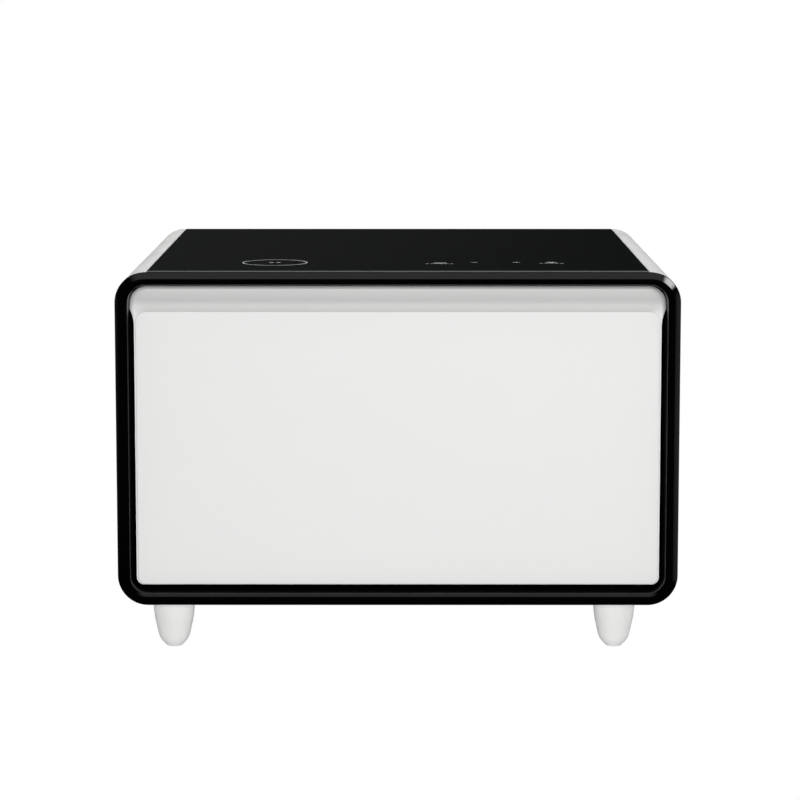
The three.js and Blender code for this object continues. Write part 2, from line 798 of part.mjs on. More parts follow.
// Cold compartment: a thermoformed liner with a flange that the drawer seals against
function cavityOutline(inset) {
  return roundedOutline(
    inset - CAVITY.halfWidth,
    CAVITY.halfWidth - inset,
    CAVITY.bottom + inset,
    CAVITY.top - inset,
    CAVITY_RADIUS - inset,
  );
}

function innerLiner() {
  const tub = prismAlongY(
    cavityOutline(-LINER_WALL),
    atDepth(SEAL_DEPTH) + LINER_WALL / 2,
    atDepth(CAVITY_BACK_DEPTH) + LINER_WALL,
  );
  const flange = prismAlongY(
    bodyOutline(TUNNEL_INSET - TUNNEL_WALL),
    atDepth(SEAL_DEPTH),
    atDepth(SEAL_DEPTH) + LINER_WALL,
  );
  const space = prismAlongY(
    cavityOutline(0),
    atDepth(SEAL_DEPTH) - OVERRUN,
    atDepth(CAVITY_BACK_DEPTH),
  );
  return cut(joined(tub, flange), space, ...lineHoles());
}

// Where the refrigerant lines pass from the cold compartment to the machine room
const EVAPORATOR_HEIGHT = CAVITY_HEIGHT * EVAPORATOR_HEIGHT_SHARE;
const EVAPORATOR_BASE_Z = CAVITY.bottom + CAVITY_HEIGHT * EVAPORATOR_LIFT_SHARE;
const CAPILLARY_Z = EVAPORATOR_BASE_Z + EVAPORATOR_HEIGHT;
const SUCTION_Z = CAPILLARY_Z + 2 * TUBE_BEND;
const SUCTION_X = EVAPORATOR_X - EVAPORATOR_LENGTH / 2 - TUBE_BEND;
const CAPILLARY_X = SUCTION_X - 2 * TUBE_BEND;

function lineHoles() {
  const front = atDepth(CAVITY_BACK_DEPTH) - OVERRUN;
  const back = atDepth(MACHINE_ROOM_DEPTH) + SHEET + OVERRUN;
  return [
    rodAlongY(LINE_HOLE_RADIUS, SUCTION_X, SUCTION_Z, front, back),
    rodAlongY(LINE_HOLE_RADIUS, CAPILLARY_X, CAPILLARY_Z, front, back),
  ];
}

place(cabinet, "inner_liner", innerLiner(), "white_plastic");

// Insulation: fills everything between the wrap and the liner
function cabinetFoam() {
  const front = atDepth(WRAP_FRONT_SETBACK + FIT);
  const back = atDepth(MACHINE_ROOM_DEPTH);
  const block = prismAlongY(bodyOutline(WRAP_THICKNESS + FIT), front, back);
  const tunnel = prismAlongY(
    bodyOutline(TUNNEL_INSET - TUNNEL_WALL - FIT),
    front - OVERRUN,
    atDepth(SEAL_DEPTH) + LINER_WALL + FIT,
  );
  const tub = prismAlongY(
    cavityOutline(-LINER_WALL - FIT),
    front,
    atDepth(CAVITY_BACK_DEPTH) + LINER_WALL + FIT,
  );
  const pan = box(
    -TRAY_PAN_HALF_WIDTH - FIT,
    TRAY_PAN_HALF_WIDTH + FIT,
    atDepth(TRAY_FRONT_DEPTH) - FIT,
    atDepth(TRAY_BACK_DEPTH) + FIT,
    GLASS_SEAT_Z - TRAY_DEPTH - FIT,
    TOP_Z,
  );
  const pockets = [];
  for (const leg of LEG_PLACES.filter((place) => !place.inMachineRoom)) {
    const reach = LEG_PLATE_SIDE / 2 + FIT;
    const plateTop = BOTTOM_Z + WRAP_THICKNESS + FIT + LEG_PLATE_THICKNESS + FIT;
    pockets.push(
      box(leg.x - reach, leg.x + reach, leg.y - reach, leg.y + reach, BOTTOM_Z, plateTop),
      rodAlongZ(
        WELD_NUT_RADIUS + FIT,
        leg.x,
        leg.y,
        BOTTOM_Z,
        BOTTOM_Z + STUD_LENGTH + FIT,
      ),
    );
  }
  const recess = topRecess(front - OVERRUN, back + OVERRUN);
  return cut(block, tunnel, tub, pan, recess, ...pockets, ...lineHoles());
}

place(cabinet, "cabinet_foam", cabinetFoam(), "foam");

// Legs: turned bullet shapes with a threaded stud on top
function leg() {
  const height = FLOOR_CLEARANCE - FIT;
  const outline = new THREE.SplineCurve([
    new THREE.Vector2(LEG_FOOT_RADIUS, 0),
    ...LEG_OUTLINE_SHARES.map(
      ([radiusShare, heightShare]) =>
        new THREE.Vector2(LEG_RADIUS * radiusShare, height * heightShare),
    ),
  ]);
  const side = outline.getPoints(LEG_OUTLINE_SHARES.length - 2).map(({ x, y }) => [x, y]);
  return turned(
    [
      [0, 0],
      ...side,
      [STUD_RADIUS, height],
      [STUD_RADIUS, height + STUD_LENGTH],
      [0, height + STUD_LENGTH],
    ],
    LEG_SIDES,
  );
}

// Leg plate: a steel square with a weld nut, tapped for the stud
function legPlate() {
  const half = LEG_PLATE_SIDE / 2;
  return cut(
    joined(
      box(-half, half, -half, half, 0, LEG_PLATE_THICKNESS),
      rodAlongZ(
        WELD_NUT_RADIUS,
        0,
        0,
        LEG_PLATE_THICKNESS / 2,
        LEG_PLATE_THICKNESS + WELD_NUT_HEIGHT,
        NUT_SIDES,
      ),
    ),
    rodAlongZ(
      STUD_RADIUS + FIT,
      0,
      0,
      -OVERRUN,
      LEG_PLATE_THICKNESS + WELD_NUT_HEIGHT + OVERRUN,
    ),
  );
}

for (const spot of LEG_PLACES) {
  const seat = BOTTOM_Z + WRAP_THICKNESS + FIT;
  const lift = spot.inMachineRoom ? SHEET + FIT : 0;
  place(cabinet, `leg_${spot.name}`, leg(), "white_plastic", [spot.x, spot.y, 0]);
  place(cabinet, `leg_plate_${spot.name}`, legPlate(), "bare_steel", [
    spot.x,
    spot.y,
    seat + lift,
  ]);
}

// Bulkhead: the sheet that closes the insulation towards the machine room
function foamBulkhead() {
  const front = atDepth(MACHINE_ROOM_DEPTH) + FIT;
  const sheet = prismAlongY(bodyOutline(WRAP_THICKNESS + FIT), front, front + SHEET);
  return cut(sheet, topRecess(front - OVERRUN, front + SHEET + OVERRUN), ...lineHoles());
}

place(cabinet, "foam_bulkhead", foamBulkhead(), "bare_steel");

// Back panel: a folded sheet with two banks of air slots and the cut-out for the power inlet
function backPanel() {
  const inset = WRAP_THICKNESS + FIT;
  const front = atDepth(BACK_PANEL_DEPTH);
  const sheet = prismAlongY(bodyOutline(inset), front, front + SHEET);
  const fold = sweptFrame(
    [
      [inset, BACK_PANEL_DEPTH - BACK_FLANGE],
      [inset + SHEET, BACK_PANEL_DEPTH - BACK_FLANGE],
      [inset + SHEET, BACK_PANEL_DEPTH + SHEET],
      [inset, BACK_PANEL_DEPTH + SHEET],
    ],
    bodyOutline,
  );
  const cuts = [
    topRecess(front - BACK_FLANGE - OVERRUN, front + SHEET + OVERRUN),
    box(
      INLET_X - INLET_WIDTH / 2 - FIT,
      INLET_X + INLET_WIDTH / 2 + FIT,
      front - OVERRUN,
      front + SHEET + OVERRUN,
      INLET_Z - INLET_HEIGHT / 2 - FIT,
      INLET_Z + INLET_HEIGHT / 2 + FIT,
    ),
  ];
  const bankReach = HALF_WIDTH - VENT_BANK_INSET;
  for (const bankX of [-bankReach, bankReach]) {
    for (let index = 0; index < VENT_COUNT; index++) {
      const z = BOTTOM_Z + VENT_LOW_GAP + index * VENT_PITCH;
      cuts.push(
        box(
          bankX - VENT_WIDTH / 2,
          bankX + VENT_WIDTH / 2,
          front - OVERRUN,
          front + SHEET + OVERRUN,
          z,
          z + VENT_HEIGHT,
        ),
      );
    }
  }
  return cut(joined(sheet, fold), ...cuts);
}

place(cabinet, "back_panel", backPanel(), "white_enamel");

// Power inlet: a recessed three-pin socket behind a flange
function powerInlet() {
  const face = atDepth(BACK_PANEL_DEPTH) + SHEET + FIT;
  const flange = INLET_FLANGE / 2;
  const mouth = face + INLET_FLANGE_THICKNESS;
  const body = box(
    INLET_X - INLET_WIDTH / 2,
    INLET_X + INLET_WIDTH / 2,
    face - INLET_BODY,
    face + INLET_FLANGE_THICKNESS / 2,
    INLET_Z - INLET_HEIGHT / 2,
    INLET_Z + INLET_HEIGHT / 2,
  );
  const rim = box(
    INLET_X - INLET_WIDTH / 2 - flange,
    INLET_X + INLET_WIDTH / 2 + flange,
    face,
    mouth,
    INLET_Z - INLET_HEIGHT / 2 - flange,
    INLET_Z + INLET_HEIGHT / 2 + flange,
  );
  const socket = box(
    INLET_X - SOCKET_WIDTH / 2,
    INLET_X + SOCKET_WIDTH / 2,
    mouth - SOCKET_DEPTH,
    mouth + OVERRUN,
    INLET_Z - SOCKET_HEIGHT / 2,
    INLET_Z + SOCKET_HEIGHT / 2,
  );
  const pins = [-1, 0, 1].map((place) => {
    const x = INLET_X + place * PIN_PITCH;
    const drop = place === 0 ? PIN_HEIGHT / 2 : 0;
    return box(
      x - PIN_WIDTH / 2,
      x + PIN_WIDTH / 2,
      mouth - SOCKET_DEPTH - INLET_FLANGE_THICKNESS,
      mouth - SOCKET_DEPTH + PIN_LENGTH,
      INLET_Z - drop,
      INLET_Z - drop + PIN_HEIGHT,
    );
  });
  return joined(cut(joined(body, rim), socket), ...pins);
}

place(cabinet, "power_inlet", powerInlet(), "black_plastic");

// Interior lamp: a bar on the compartment's ceiling
place(
  cabinet,
  "interior_lamp",
  box(
    -LAMP_WIDTH / 2,
    LAMP_WIDTH / 2,
    atDepth(SEAL_DEPTH + LAMP_SETBACK),
    atDepth(SEAL_DEPTH + LAMP_SETBACK) + LAMP_LENGTH,
    CAVITY.top - FIT - LAMP_HEIGHT,
    CAVITY.top - FIT,
  ),
  "lamp_lens",
);

// Drawer slides: three nested channels on each side
const SLIDE_BOTTOM_Z = CAVITY.bottom + CAVITY_RADIUS + FIT;
const SLIDE_FRONT = atDepth(SEAL_DEPTH + SLIDE_FRONT_GAP);
const SLIDE_LENGTH = atDepth(COVER_DEPTH) - SLIDE_BACK_GAP - SLIDE_FRONT;

// A channel open towards the drawer: its web stands the given distance in from the wall.
function slideChannel(level) {
  const step = level * (SLIDE_SHEET + FIT);
  const wall = CAVITY.halfWidth - FIT - step;
  const mouth = CAVITY.halfWidth - FIT - SLIDE_DEPTH;
  const bottom = SLIDE_BOTTOM_Z + step;
  const top = SLIDE_BOTTOM_Z + SLIDE_HEIGHT - step;
  const outline = [
    new THREE.Vector2(wall, bottom),
    new THREE.Vector2(wall, top),
    new THREE.Vector2(mouth, top),
    new THREE.Vector2(mouth, top - SLIDE_SHEET),
    new THREE.Vector2(wall - SLIDE_SHEET, top - SLIDE_SHEET),
    new THREE.Vector2(wall - SLIDE_SHEET, bottom + SLIDE_SHEET),
    new THREE.Vector2(mouth, bottom + SLIDE_SHEET),
    new THREE.Vector2(mouth, bottom),
  ];
  return prismAlongY(outline, SLIDE_FRONT, SLIDE_FRONT + SLIDE_LENGTH);
}

// Bracket: a steel angle that joins the slide to the drawer front and carries the bin
const BRACKET_OUTER_X = CAVITY.halfWidth - FIT - SLIDE_DEPTH - FIT;
const BRACKET_FRONT = atDepth(SEAL_DEPTH) - FIT - GASKET_THICKNESS;

function slideBracket() {
  const inner = BRACKET_OUTER_X - BRACKET_SHEET;
  const top = SLIDE_BOTTOM_Z + SLIDE_HEIGHT;
  const back = SLIDE_FRONT + SLIDE_LENGTH;
  const side = box(inner, BRACKET_OUTER_X, BRACKET_FRONT, back, SLIDE_BOTTOM_Z, top);
  const shelf = box(
    BRACKET_OUTER_X - BRACKET_SHELF,
    BRACKET_OUTER_X,
    BRACKET_FRONT,
    back,
    SLIDE_BOTTOM_Z,
    SLIDE_BOTTOM_Z + BRACKET_SHEET,
  );
  const tab = box(
    BRACKET_OUTER_X - BRACKET_TAB,
    BRACKET_OUTER_X,
    BRACKET_FRONT,
    BRACKET_FRONT + BRACKET_SHEET,
    SLIDE_BOTTOM_Z,
    top,
  );
  const innerLevel = 2;
  const step = innerLevel * (SLIDE_SHEET + FIT);
  const hook = box(
    BRACKET_OUTER_X - BRACKET_SHEET / 2,
    CAVITY.halfWidth - FIT - step - SLIDE_SHEET - FIT,
    SLIDE_FRONT,
    back,
    SLIDE_BOTTOM_Z + SLIDE_HEIGHT / 2 - BRACKET_SHEET,
    SLIDE_BOTTOM_Z + SLIDE_HEIGHT / 2 + BRACKET_SHEET,
  );
  return joined(side, shelf, tab, hook);
}

for (const [side, sign] of [
  ["left", -1],
  ["right", 1],
]) {
  const names = [`slide_outer_${side}`, `slide_middle_${side}`, `slide_inner_${side}`];
  names.forEach((name, level) => {
    const parent = level === 2 ? drawer : cabinet;
    place(parent, name, slideChannel(level), "bare_steel").scale.x = sign;
  });
  place(drawer, `slide_bracket_${side}`, slideBracket(), "bare_steel").scale.x = sign;
}

// Drawer front: a raised panel below a scooped grip, moulded as one thin-walled face
const DRAWER = {
  halfWidth: HALF_WIDTH - TUNNEL_INSET - DRAWER_EDGE_GAP,
  bottom: BOTTOM_Z + TUNNEL_INSET + DRAWER_EDGE_GAP,
  top: TOP_Z - TUNNEL_INSET - DRAWER_EDGE_GAP,
};
const PANEL_HALF_WIDTH = DRAWER.halfWidth - PANEL_SIDE_STEP;
const PANEL_BOTTOM_Z = DRAWER.bottom + PANEL_BOTTOM_STEP;
const LIP_Z = DRAWER.top - LIP_DROP;
const GROOVE_Z = LIP_Z - GRIP_GROOVE_DEPTH;
const SCOOP_RADIUS = DRAWER_WALL_DEPTH - PANEL_DEPTH - LIP_THICKNESS;

function drawerOutline(inset) {
  return roundedOutline(
    inset - DRAWER.halfWidth,
    DRAWER.halfWidth - inset,
    DRAWER.bottom + inset,
    DRAWER.top - inset,
    DRAWER_CORNER_RADIUS - inset,
  );
}

// The raised panel: its rings run from the back to the front, drawn in round the edge.
function raisedPanel() {
  const ringAt = (share, depth) => {
    const inset = share * PANEL_EDGE_FILLET;
    const outline = roundedOutline(
      inset - PANEL_HALF_WIDTH,
      PANEL_HALF_WIDTH - inset,
      PANEL_BOTTOM_Z + inset,
      LIP_Z - share * LIP_FILLET,
      PANEL_RADIUS - inset,
    );
    return outline.map((point) => new THREE.Vector3(point.x, atDepth(depth), point.y));
  };
  const rings = [ringAt(0, DRAWER_WALL_DEPTH + DRAWER_SKIN / 2)];
  const steps = 4;
  for (let step = 0; step <= steps; step++) {
    const angle = ((step / steps) * Math.PI) / 2;
    const share = 1 - Math.cos(angle);
    rings.push(ringAt(share, PANEL_DEPTH + PANEL_EDGE_FILLET * (1 - Math.sin(angle))));
  }
  return skin(rings, false);
}

// The scoop: a quarter round that turns the grip's back wall into the floor behind the lip.
function scoopCove() {
  const back = atDepth(DRAWER_WALL_DEPTH) + DRAWER_SKIN / 2;
  const centreY = atDepth(DRAWER_WALL_DEPTH) - SCOOP_RADIUS;
  const outline = [
    new THREE.Vector2(centreY, GROOVE_Z - DRAWER_SKIN),
    new THREE.Vector2(back, GROOVE_Z - DRAWER_SKIN),
    new THREE.Vector2(back, GROOVE_Z + SCOOP_RADIUS),
  ];
  for (let step = 0; step <= CORNER_STEPS; step++) {
    const angle = ((step / CORNER_STEPS) * Math.PI) / 2;
    const y = centreY + SCOOP_RADIUS * Math.cos(angle);
    const z = GROOVE_Z + SCOOP_RADIUS - SCOOP_RADIUS * Math.sin(angle);
    outline.push(new THREE.Vector2(y, z));
  }
  const halfWidth = PANEL_HALF_WIDTH - PANEL_EDGE_FILLET;
  return prismAlongX(outline, -halfWidth, halfWidth);
}

function panelPocket(clearance) {
  const wall = DRAWER_SKIN + PANEL_EDGE_FILLET / 2 + clearance;
  return box(
    wall - PANEL_HALF_WIDTH,
    PANEL_HALF_WIDTH - wall,
    atDepth(PANEL_DEPTH + DRAWER_SKIN) + clearance,
    atDepth(DRAWER_WALL_DEPTH + DRAWER_SKIN) + OVERRUN,
    PANEL_BOTTOM_Z + wall,
    GROOVE_Z - DRAWER_SKIN - clearance,
  );
}

function drawerFront() {
  const groove = box(
    -HALF_WIDTH,
    HALF_WIDTH,
    atDepth(PANEL_DEPTH + LIP_THICKNESS),
    atDepth(DRAWER_WALL_DEPTH),
    GROOVE_Z,
    TOP_Z,
  );
  const wall = prismAlongY(
    drawerOutline(0),
    atDepth(DRAWER_WALL_DEPTH),
    atDepth(DRAWER_WALL_DEPTH + DRAWER_SKIN),
  );
  const rim = sweptFrame(
    [
      [0, DRAWER_WALL_DEPTH + DRAWER_SKIN / 2],
      [DRAWER_SKIN, DRAWER_WALL_DEPTH + DRAWER_SKIN / 2],
      [DRAWER_SKIN, DRAWER_SPLIT_DEPTH],
      [0, DRAWER_SPLIT_DEPTH],
    ],
    drawerOutline,
  );
  const face = joined(cut(raisedPanel(), groove), wall, rim, scoopCove());
  return cut(face, panelPocket(0));
}

place(drawer, "drawer_front", drawerFront(), "white_plastic");

// Drawer back: a shallow pan that closes the insulated front
const DRAWER_BACK_DEPTH = SEAL_DEPTH - 2 * FIT - GASKET_THICKNESS;

function drawerBackLiner() {
  const pan = prismAlongY(
    drawerOutline(0),
    atDepth(DRAWER_BACK_DEPTH - DRAWER_LINER_WALL),
    atDepth(DRAWER_BACK_DEPTH),
  );
  const rim = sweptFrame(
    [
      [0, DRAWER_SPLIT_DEPTH + FIT],
      [DRAWER_LINER_WALL, DRAWER_SPLIT_DEPTH + FIT],
      [DRAWER_LINER_WALL, DRAWER_BACK_DEPTH - DRAWER_LINER_WALL / 2],
      [0, DRAWER_BACK_DEPTH - DRAWER_LINER_WALL / 2],
    ],
    drawerOutline,
  );
  return joined(pan, rim);
}

place(drawer, "drawer_back_liner", drawerBackLiner(), "white_plastic");

// Drawer insulation
function drawerFoam() {
  const slab = prismAlongY(
    drawerOutline(DRAWER_SKIN + FIT),
    atDepth(DRAWER_WALL_DEPTH + DRAWER_SKIN) + FIT,
    atDepth(DRAWER_BACK_DEPTH - DRAWER_LINER_WALL) - FIT,
  );
  return joined(slab, panelPocket(FIT));
}

place(drawer, "drawer_foam", drawerFoam(), "foam");

// Drawer gasket: a magnetic seal with a drawn-in waist
function drawerGasket() {
  const outer = GASKET_INSET;
  const inner = GASKET_INSET + GASKET_WIDTH;
  const front = SEAL_DEPTH - FIT - GASKET_THICKNESS;
  const middle = front + GASKET_THICKNESS / 2;
  const back = SEAL_DEPTH - FIT;
  return sweptFrame(
    [
      [outer, front],
      [inner, front],
      [inner - GASKET_WAIST, middle],
      [inner, back],
      [outer, back],
      [outer + GASKET_WAIST, middle],
    ],
    drawerOutline,
  );
}

place(drawer, "drawer_gasket", drawerGasket(), "grey_rubber");

// Drawer bin: a tapered open box with a rim, standing ribs and a ribbed floor
const BIN = {
  halfWidth: BRACKET_OUTER_X - BRACKET_SHEET - FIT,
  front: BRACKET_FRONT + BRACKET_SHEET + FIT,
  back: atDepth(COVER_DEPTH) - BIN_BACK_GAP,
  bottom: SLIDE_BOTTOM_Z + BRACKET_SHEET + FIT,
};
const BIN_HEIGHT = CAVITY.top - BIN_HEADROOM - BIN.bottom;

function binRing(inset, height) {
  const outline = roundedOutline(
    inset - BIN.halfWidth,
    BIN.halfWidth - inset,
    BIN.front + inset,
    BIN.back - inset,
    BIN_RADIUS,
  );
  return outline.map((point) => new THREE.Vector3(point.x, point.y, BIN.bottom + height));
}

function drawerBin() {
  const outside = skin([binRing(BIN_DRAFT, 0), binRing(0, BIN_HEIGHT)], false);
  const inside = skin(
    [binRing(BIN_DRAFT + BIN_WALL, BIN_WALL), binRing(BIN_WALL, BIN_HEIGHT + OVERRUN)],
    false,
  );
  const rim = skin(
    [
      binRing(BIN_WALL / 2, BIN_HEIGHT - BIN_RIM_HEIGHT),
      binRing(-BIN_RIM_WIDTH, BIN_HEIGHT - BIN_RIM_HEIGHT),
      binRing(-BIN_RIM_WIDTH, BIN_HEIGHT),
      binRing(BIN_WALL / 2, BIN_HEIGHT),
    ],
    true,
  );
  const trim = box(
    -BODY_WIDTH,
    BODY_WIDTH,
    BIN.front - BODY_DEPTH,
    BIN.front,
    BIN.bottom,
    BIN.bottom + BIN_HEIGHT + OVERRUN,
  );
  const shell = cut(joined(outside, rim), inside, trim);
  const ribs = [];
  const length = BIN.back - BIN.front;
  const count = Math.floor((length - 2 * BIN_RADIUS) / BIN_RIB_PITCH);
  for (let index = 0; index <= count; index++) {
    const y = (BIN.front + BIN.back) / 2 + (index - count / 2) * BIN_RIB_PITCH;
    const reach = BIN.halfWidth - BIN_DRAFT - BIN_RADIUS;
    const floor = BIN.bottom + BIN_WALL;
    const half = BIN_RIB / 2;
    ribs.push(box(-reach, reach, y - half, y + half, floor - BIN_WALL / 2, floor + BIN_RIB));
  }
  return joined(shell, ...ribs);
}

place(drawer, "drawer_bin", drawerBin(), "white_plastic");

// Evaporator cover: closes the back of the compartment, with an intake row and a fan grille
const EVAPORATOR_FAN_SIDE = CAVITY_HEIGHT * EVAPORATOR_FAN_SHARE;
const EVAPORATOR_FAN_Z = CAVITY.bottom + CAVITY_HEIGHT * EVAPORATOR_FAN_LIFT_SHARE;

function evaporatorCover() {
  const face = prismAlongY(
    cavityOutline(FIT),
    atDepth(COVER_DEPTH),
    atDepth(COVER_DEPTH) + COVER_SHEET,
  );
  const skirt = sweptFrame(
    [
      [FIT, COVER_DEPTH + COVER_SHEET / 2],
      [FIT + COVER_SHEET, COVER_DEPTH + COVER_SHEET / 2],
      [FIT + COVER_SHEET, CAVITY_BACK_DEPTH - FIT],
      [FIT, CAVITY_BACK_DEPTH - FIT],
    ],
    cavityOutline,
  );
  const slots = [];
  const front = atDepth(COVER_DEPTH) - OVERRUN;
  const back = atDepth(COVER_DEPTH) + COVER_SHEET + OVERRUN;
  const grilleRadius = EVAPORATOR_FAN_SIDE / 2 - FAN_WALL;
  for (let index = 0; index < GRILLE_COUNT; index++) {
    const rise = (index - (GRILLE_COUNT - 1) / 2) * GRILLE_PITCH;
    const reach = Math.sqrt(Math.max(grilleRadius ** 2 - rise ** 2, GRILLE_PITCH ** 2));
    const z = EVAPORATOR_FAN_Z + rise;
    slots.push(
      box(
        EVAPORATOR_X - reach,
        EVAPORATOR_X + reach,
        front,
        back,
        z - GRILLE_SLOT / 2,
        z + GRILLE_SLOT / 2,
      ),
    );
  }
  const pitch = (2 * CAVITY.halfWidth) / INTAKE_SPACES;
  for (let index = 0; index < INTAKE_COUNT; index++) {
    const x = (index - (INTAKE_COUNT - 1) / 2) * pitch;
    const z = CAVITY.bottom + CAVITY_RADIUS;
    slots.push(
      box(x - INTAKE_WIDTH / 2, x + INTAKE_WIDTH / 2, front, back, z, z + INTAKE_HEIGHT),
    );
  }
  return cut(joined(face, skirt), ...slots);
}

place(cabinet, "evaporator_cover", evaporatorCover(), "white_plastic");

// Finned coil: tube runs along X, joined by bends at the ends, through a row of thin plates
function finnedCoil(length, height, thickness) {
  const pitch = height / COIL_ROWS;
  const corners = [];
  for (let row = 0; row < COIL_ROWS; row++) {
    const z = (row + 1 / 2) * pitch;
    const ends = row % 2 === 0 ? [-1, 1] : [1, -1];
    for (const end of ends) {
      corners.push(new THREE.Vector3((end * length) / 2, 0, z));
    }
  }
  const tube = bentTube(corners, TUBE_RADIUS, pitch / 2, COIL_SIDES);
  const span = length - 2 * pitch;
  const plates = [];
  for (let index = 0; index < FIN_COUNT; index++) {
    const x = (index / (FIN_COUNT - 1) - 1 / 2) * span;
    plates.push(
      box(x - FIN_SHEET / 2, x + FIN_SHEET / 2, -thickness / 2, thickness / 2, 0, height),
    );
  }
  return joined(tube, ...plates);
}

// Axial fan about Z: a square frame with a motor seat on struts, and a bladed rotor
function fanFrame(side) {
  const half = side / 2;
  const bore = half - FAN_WALL;
  const hub = bore * HUB_SHARE;
  const shell = cut(
    box(-half, half, -half, half, 0, FAN_DEPTH),
    rodAlongZ(bore, 0, 0, -OVERRUN, FAN_DEPTH + OVERRUN, LEG_SIDES),
  );
  const reach = bore + FAN_WALL / 2;
  return joined(
    shell,
    rodAlongZ(hub, 0, 0, 0, FAN_MOUNT),
    box(-reach, reach, -FAN_STRUT / 2, FAN_STRUT / 2, 0, FAN_MOUNT),
    box(-FAN_STRUT / 2, FAN_STRUT / 2, -reach, reach, 0, FAN_MOUNT),
  );
}

function fanRotor(side) {
  const bore = side / 2 - FAN_WALL;
  const hub = bore * HUB_SHARE;
  const tip = bore - FAN_TIP_CLEARANCE;
  const height = FAN_DEPTH - FAN_MOUNT - FIT;
  const chord = (tip - hub) * BLADE_CHORD_SHARE * 2;
  const pieces = [rodAlongZ(hub, 0, 0, 0, height)];
  for (let blade = 0; blade < BLADE_COUNT; blade++) {
    const turn = (blade / BLADE_COUNT) * Math.PI * 2;
    const rings = [];
    for (let station = 0; station <= BLADE_STATIONS; station++) {
      const share = station / BLADE_STATIONS;
      const radius = THREE.MathUtils.lerp(hub * HUB_SHARE, tip, share);
      const pitch = THREE.MathUtils.lerp(BLADE_ROOT_PITCH, BLADE_TIP_PITCH, share);
      const length = Math.min(chord, height / Math.sin(pitch) - BLADE_SHEET * 2);
      const rise = (length / 2) * Math.sin(pitch);
      const run = rise / Math.tan(pitch);
      const half = BLADE_SHEET / 2;
      rings.push(
        [
          [-run, -rise - half],
          [run, rise - half],
          [run, rise + half],
          [-run, half - rise],
        ].map(([across, up]) => {
          const x = radius * Math.cos(turn) - across * Math.sin(turn);
          const y = radius * Math.sin(turn) + across * Math.cos(turn);
          const inside = Math.min(1, tip / Math.hypot(x, y));
          return new THREE.Vector3(x * inside, y * inside, height / 2 + up);
        }),
      );
    }
    pieces.push(skin(rings, false));
  }
  return joined(...pieces);
}

// Evaporator and its fan, behind the cover
const EVAPORATOR_Y = atDepth((COVER_DEPTH + COVER_SHEET + CAVITY_BACK_DEPTH) / 2);
place(
  cooling,
  "evaporator_coil",
  finnedCoil(EVAPORATOR_LENGTH, EVAPORATOR_HEIGHT, EVAPORATOR_THICKNESS),
  "fins",
  [EVAPORATOR_X, EVAPORATOR_Y, EVAPORATOR_BASE_Z],
);
const EVAPORATOR_FAN_Y = atDepth(CAVITY_BACK_DEPTH) - FIT;
const FACING_FRONT = [Math.PI / 2, 0, 0];
place(
  cooling,
  "evaporator_fan_frame",
  fanFrame(EVAPORATOR_FAN_SIDE),
  "black_plastic",
  [EVAPORATOR_X, EVAPORATOR_FAN_Y, EVAPORATOR_FAN_Z],
  FACING_FRONT,
);
place(
  cooling,
  "evaporator_fan_rotor",
  fanRotor(EVAPORATOR_FAN_SIDE),
  "white_plastic",
  [EVAPORATOR_X, EVAPORATOR_FAN_Y - FAN_MOUNT - FIT, EVAPORATOR_FAN_Z],
  FACING_FRONT,
);

// Machine base: a pressed steel floor with pins for the compressor's grommets
const MACHINE_Y = atDepth(MACHINE_MID_DEPTH);
const FOOT_LENGTH = MACHINE_ROOM_LENGTH - 2 * FOOT_END_ROOM;
const SHELL_RADIUS = FOOT_LENGTH / 2 - FOOT_BORDER;
const FOOT_WIDTH = 2 * (SHELL_RADIUS * SHELL_STRETCH_SHARE + FOOT_EAR);
const FOOT_X = FOOT_WIDTH / 2 - FOOT_INSET;
const FOOT_Y = FOOT_LENGTH / 2 - FOOT_INSET;
const COMPRESSOR_FEET = [];
for (const [name, signX, signY] of [
  ["front_left", -1, -1],
  ["front_right", 1, -1],
  ["rear_left", -1, 1],
  ["rear_right", 1, 1],
]) {
  COMPRESSOR_FEET.push({
    name,
    x: COMPRESSOR_X + signX * FOOT_X,
    y: MACHINE_Y + signY * FOOT_Y,
  });
}
const FOOT_TOP = FOOT_LIFT + FOOT_SHEET;

function machineBase() {
  const halfWidth = FLAT_HALF_WIDTH;
  const front = atDepth(MACHINE_ROOM_DEPTH) + SHEET + BASE_END_GAP;
  const back = atDepth(BACK_PANEL_DEPTH) - BACK_FLANGE - BASE_END_GAP;
  const bottom = MACHINE_BASE_TOP_Z - SHEET;
  const floor = box(-halfWidth, halfWidth, front, back, bottom, MACHINE_BASE_TOP_Z);
  const lips = [front, back - SHEET].map((y) =>
    box(-halfWidth, halfWidth, y, y + SHEET, bottom, MACHINE_BASE_TOP_Z + BASE_LIP),
  );
  const pins = COMPRESSOR_FEET.map((foot) =>
    rodAlongZ(
      MOUNT_PIN_RADIUS,
      foot.x,
      foot.y,
      bottom,
      MACHINE_BASE_TOP_Z + FIT + FOOT_TOP + GROMMET_CAP + MOUNT_PIN_EXTRA,
      TUBE_SIDES,
    ),
  );
  const rearLegs = LEG_PLACES.filter((spot) => spot.inMachineRoom);
  const holes = studHoles(bottom - OVERRUN, MACHINE_BASE_TOP_Z + OVERRUN, rearLegs);
  return cut(joined(floor, ...lips, ...pins), ...holes);
}

place(cooling, "machine_base", machineBase(), "bare_steel");

// Compressor: a domed oval shell with a weld seam, standing on a foot plate
const SUCTION_STUB_Y = SHELL_RADIUS / 3;
const SHELL_BOTTOM = FOOT_TOP - FOOT_SHEET / 2;
const SHELL_TOP = SHELL_BOTTOM + SHELL_HEIGHT;
const STUB_Z = SHELL_BOTTOM + SHELL_HEIGHT * STUB_HEIGHT_SHARE;
const STUB_X = -SHELL_RADIUS * SHELL_STRETCH_SHARE - STUB_LENGTH;
const SEAM_REACH = (SHELL_RADIUS + SHELL_SEAM) * SHELL_STRETCH_SHARE;

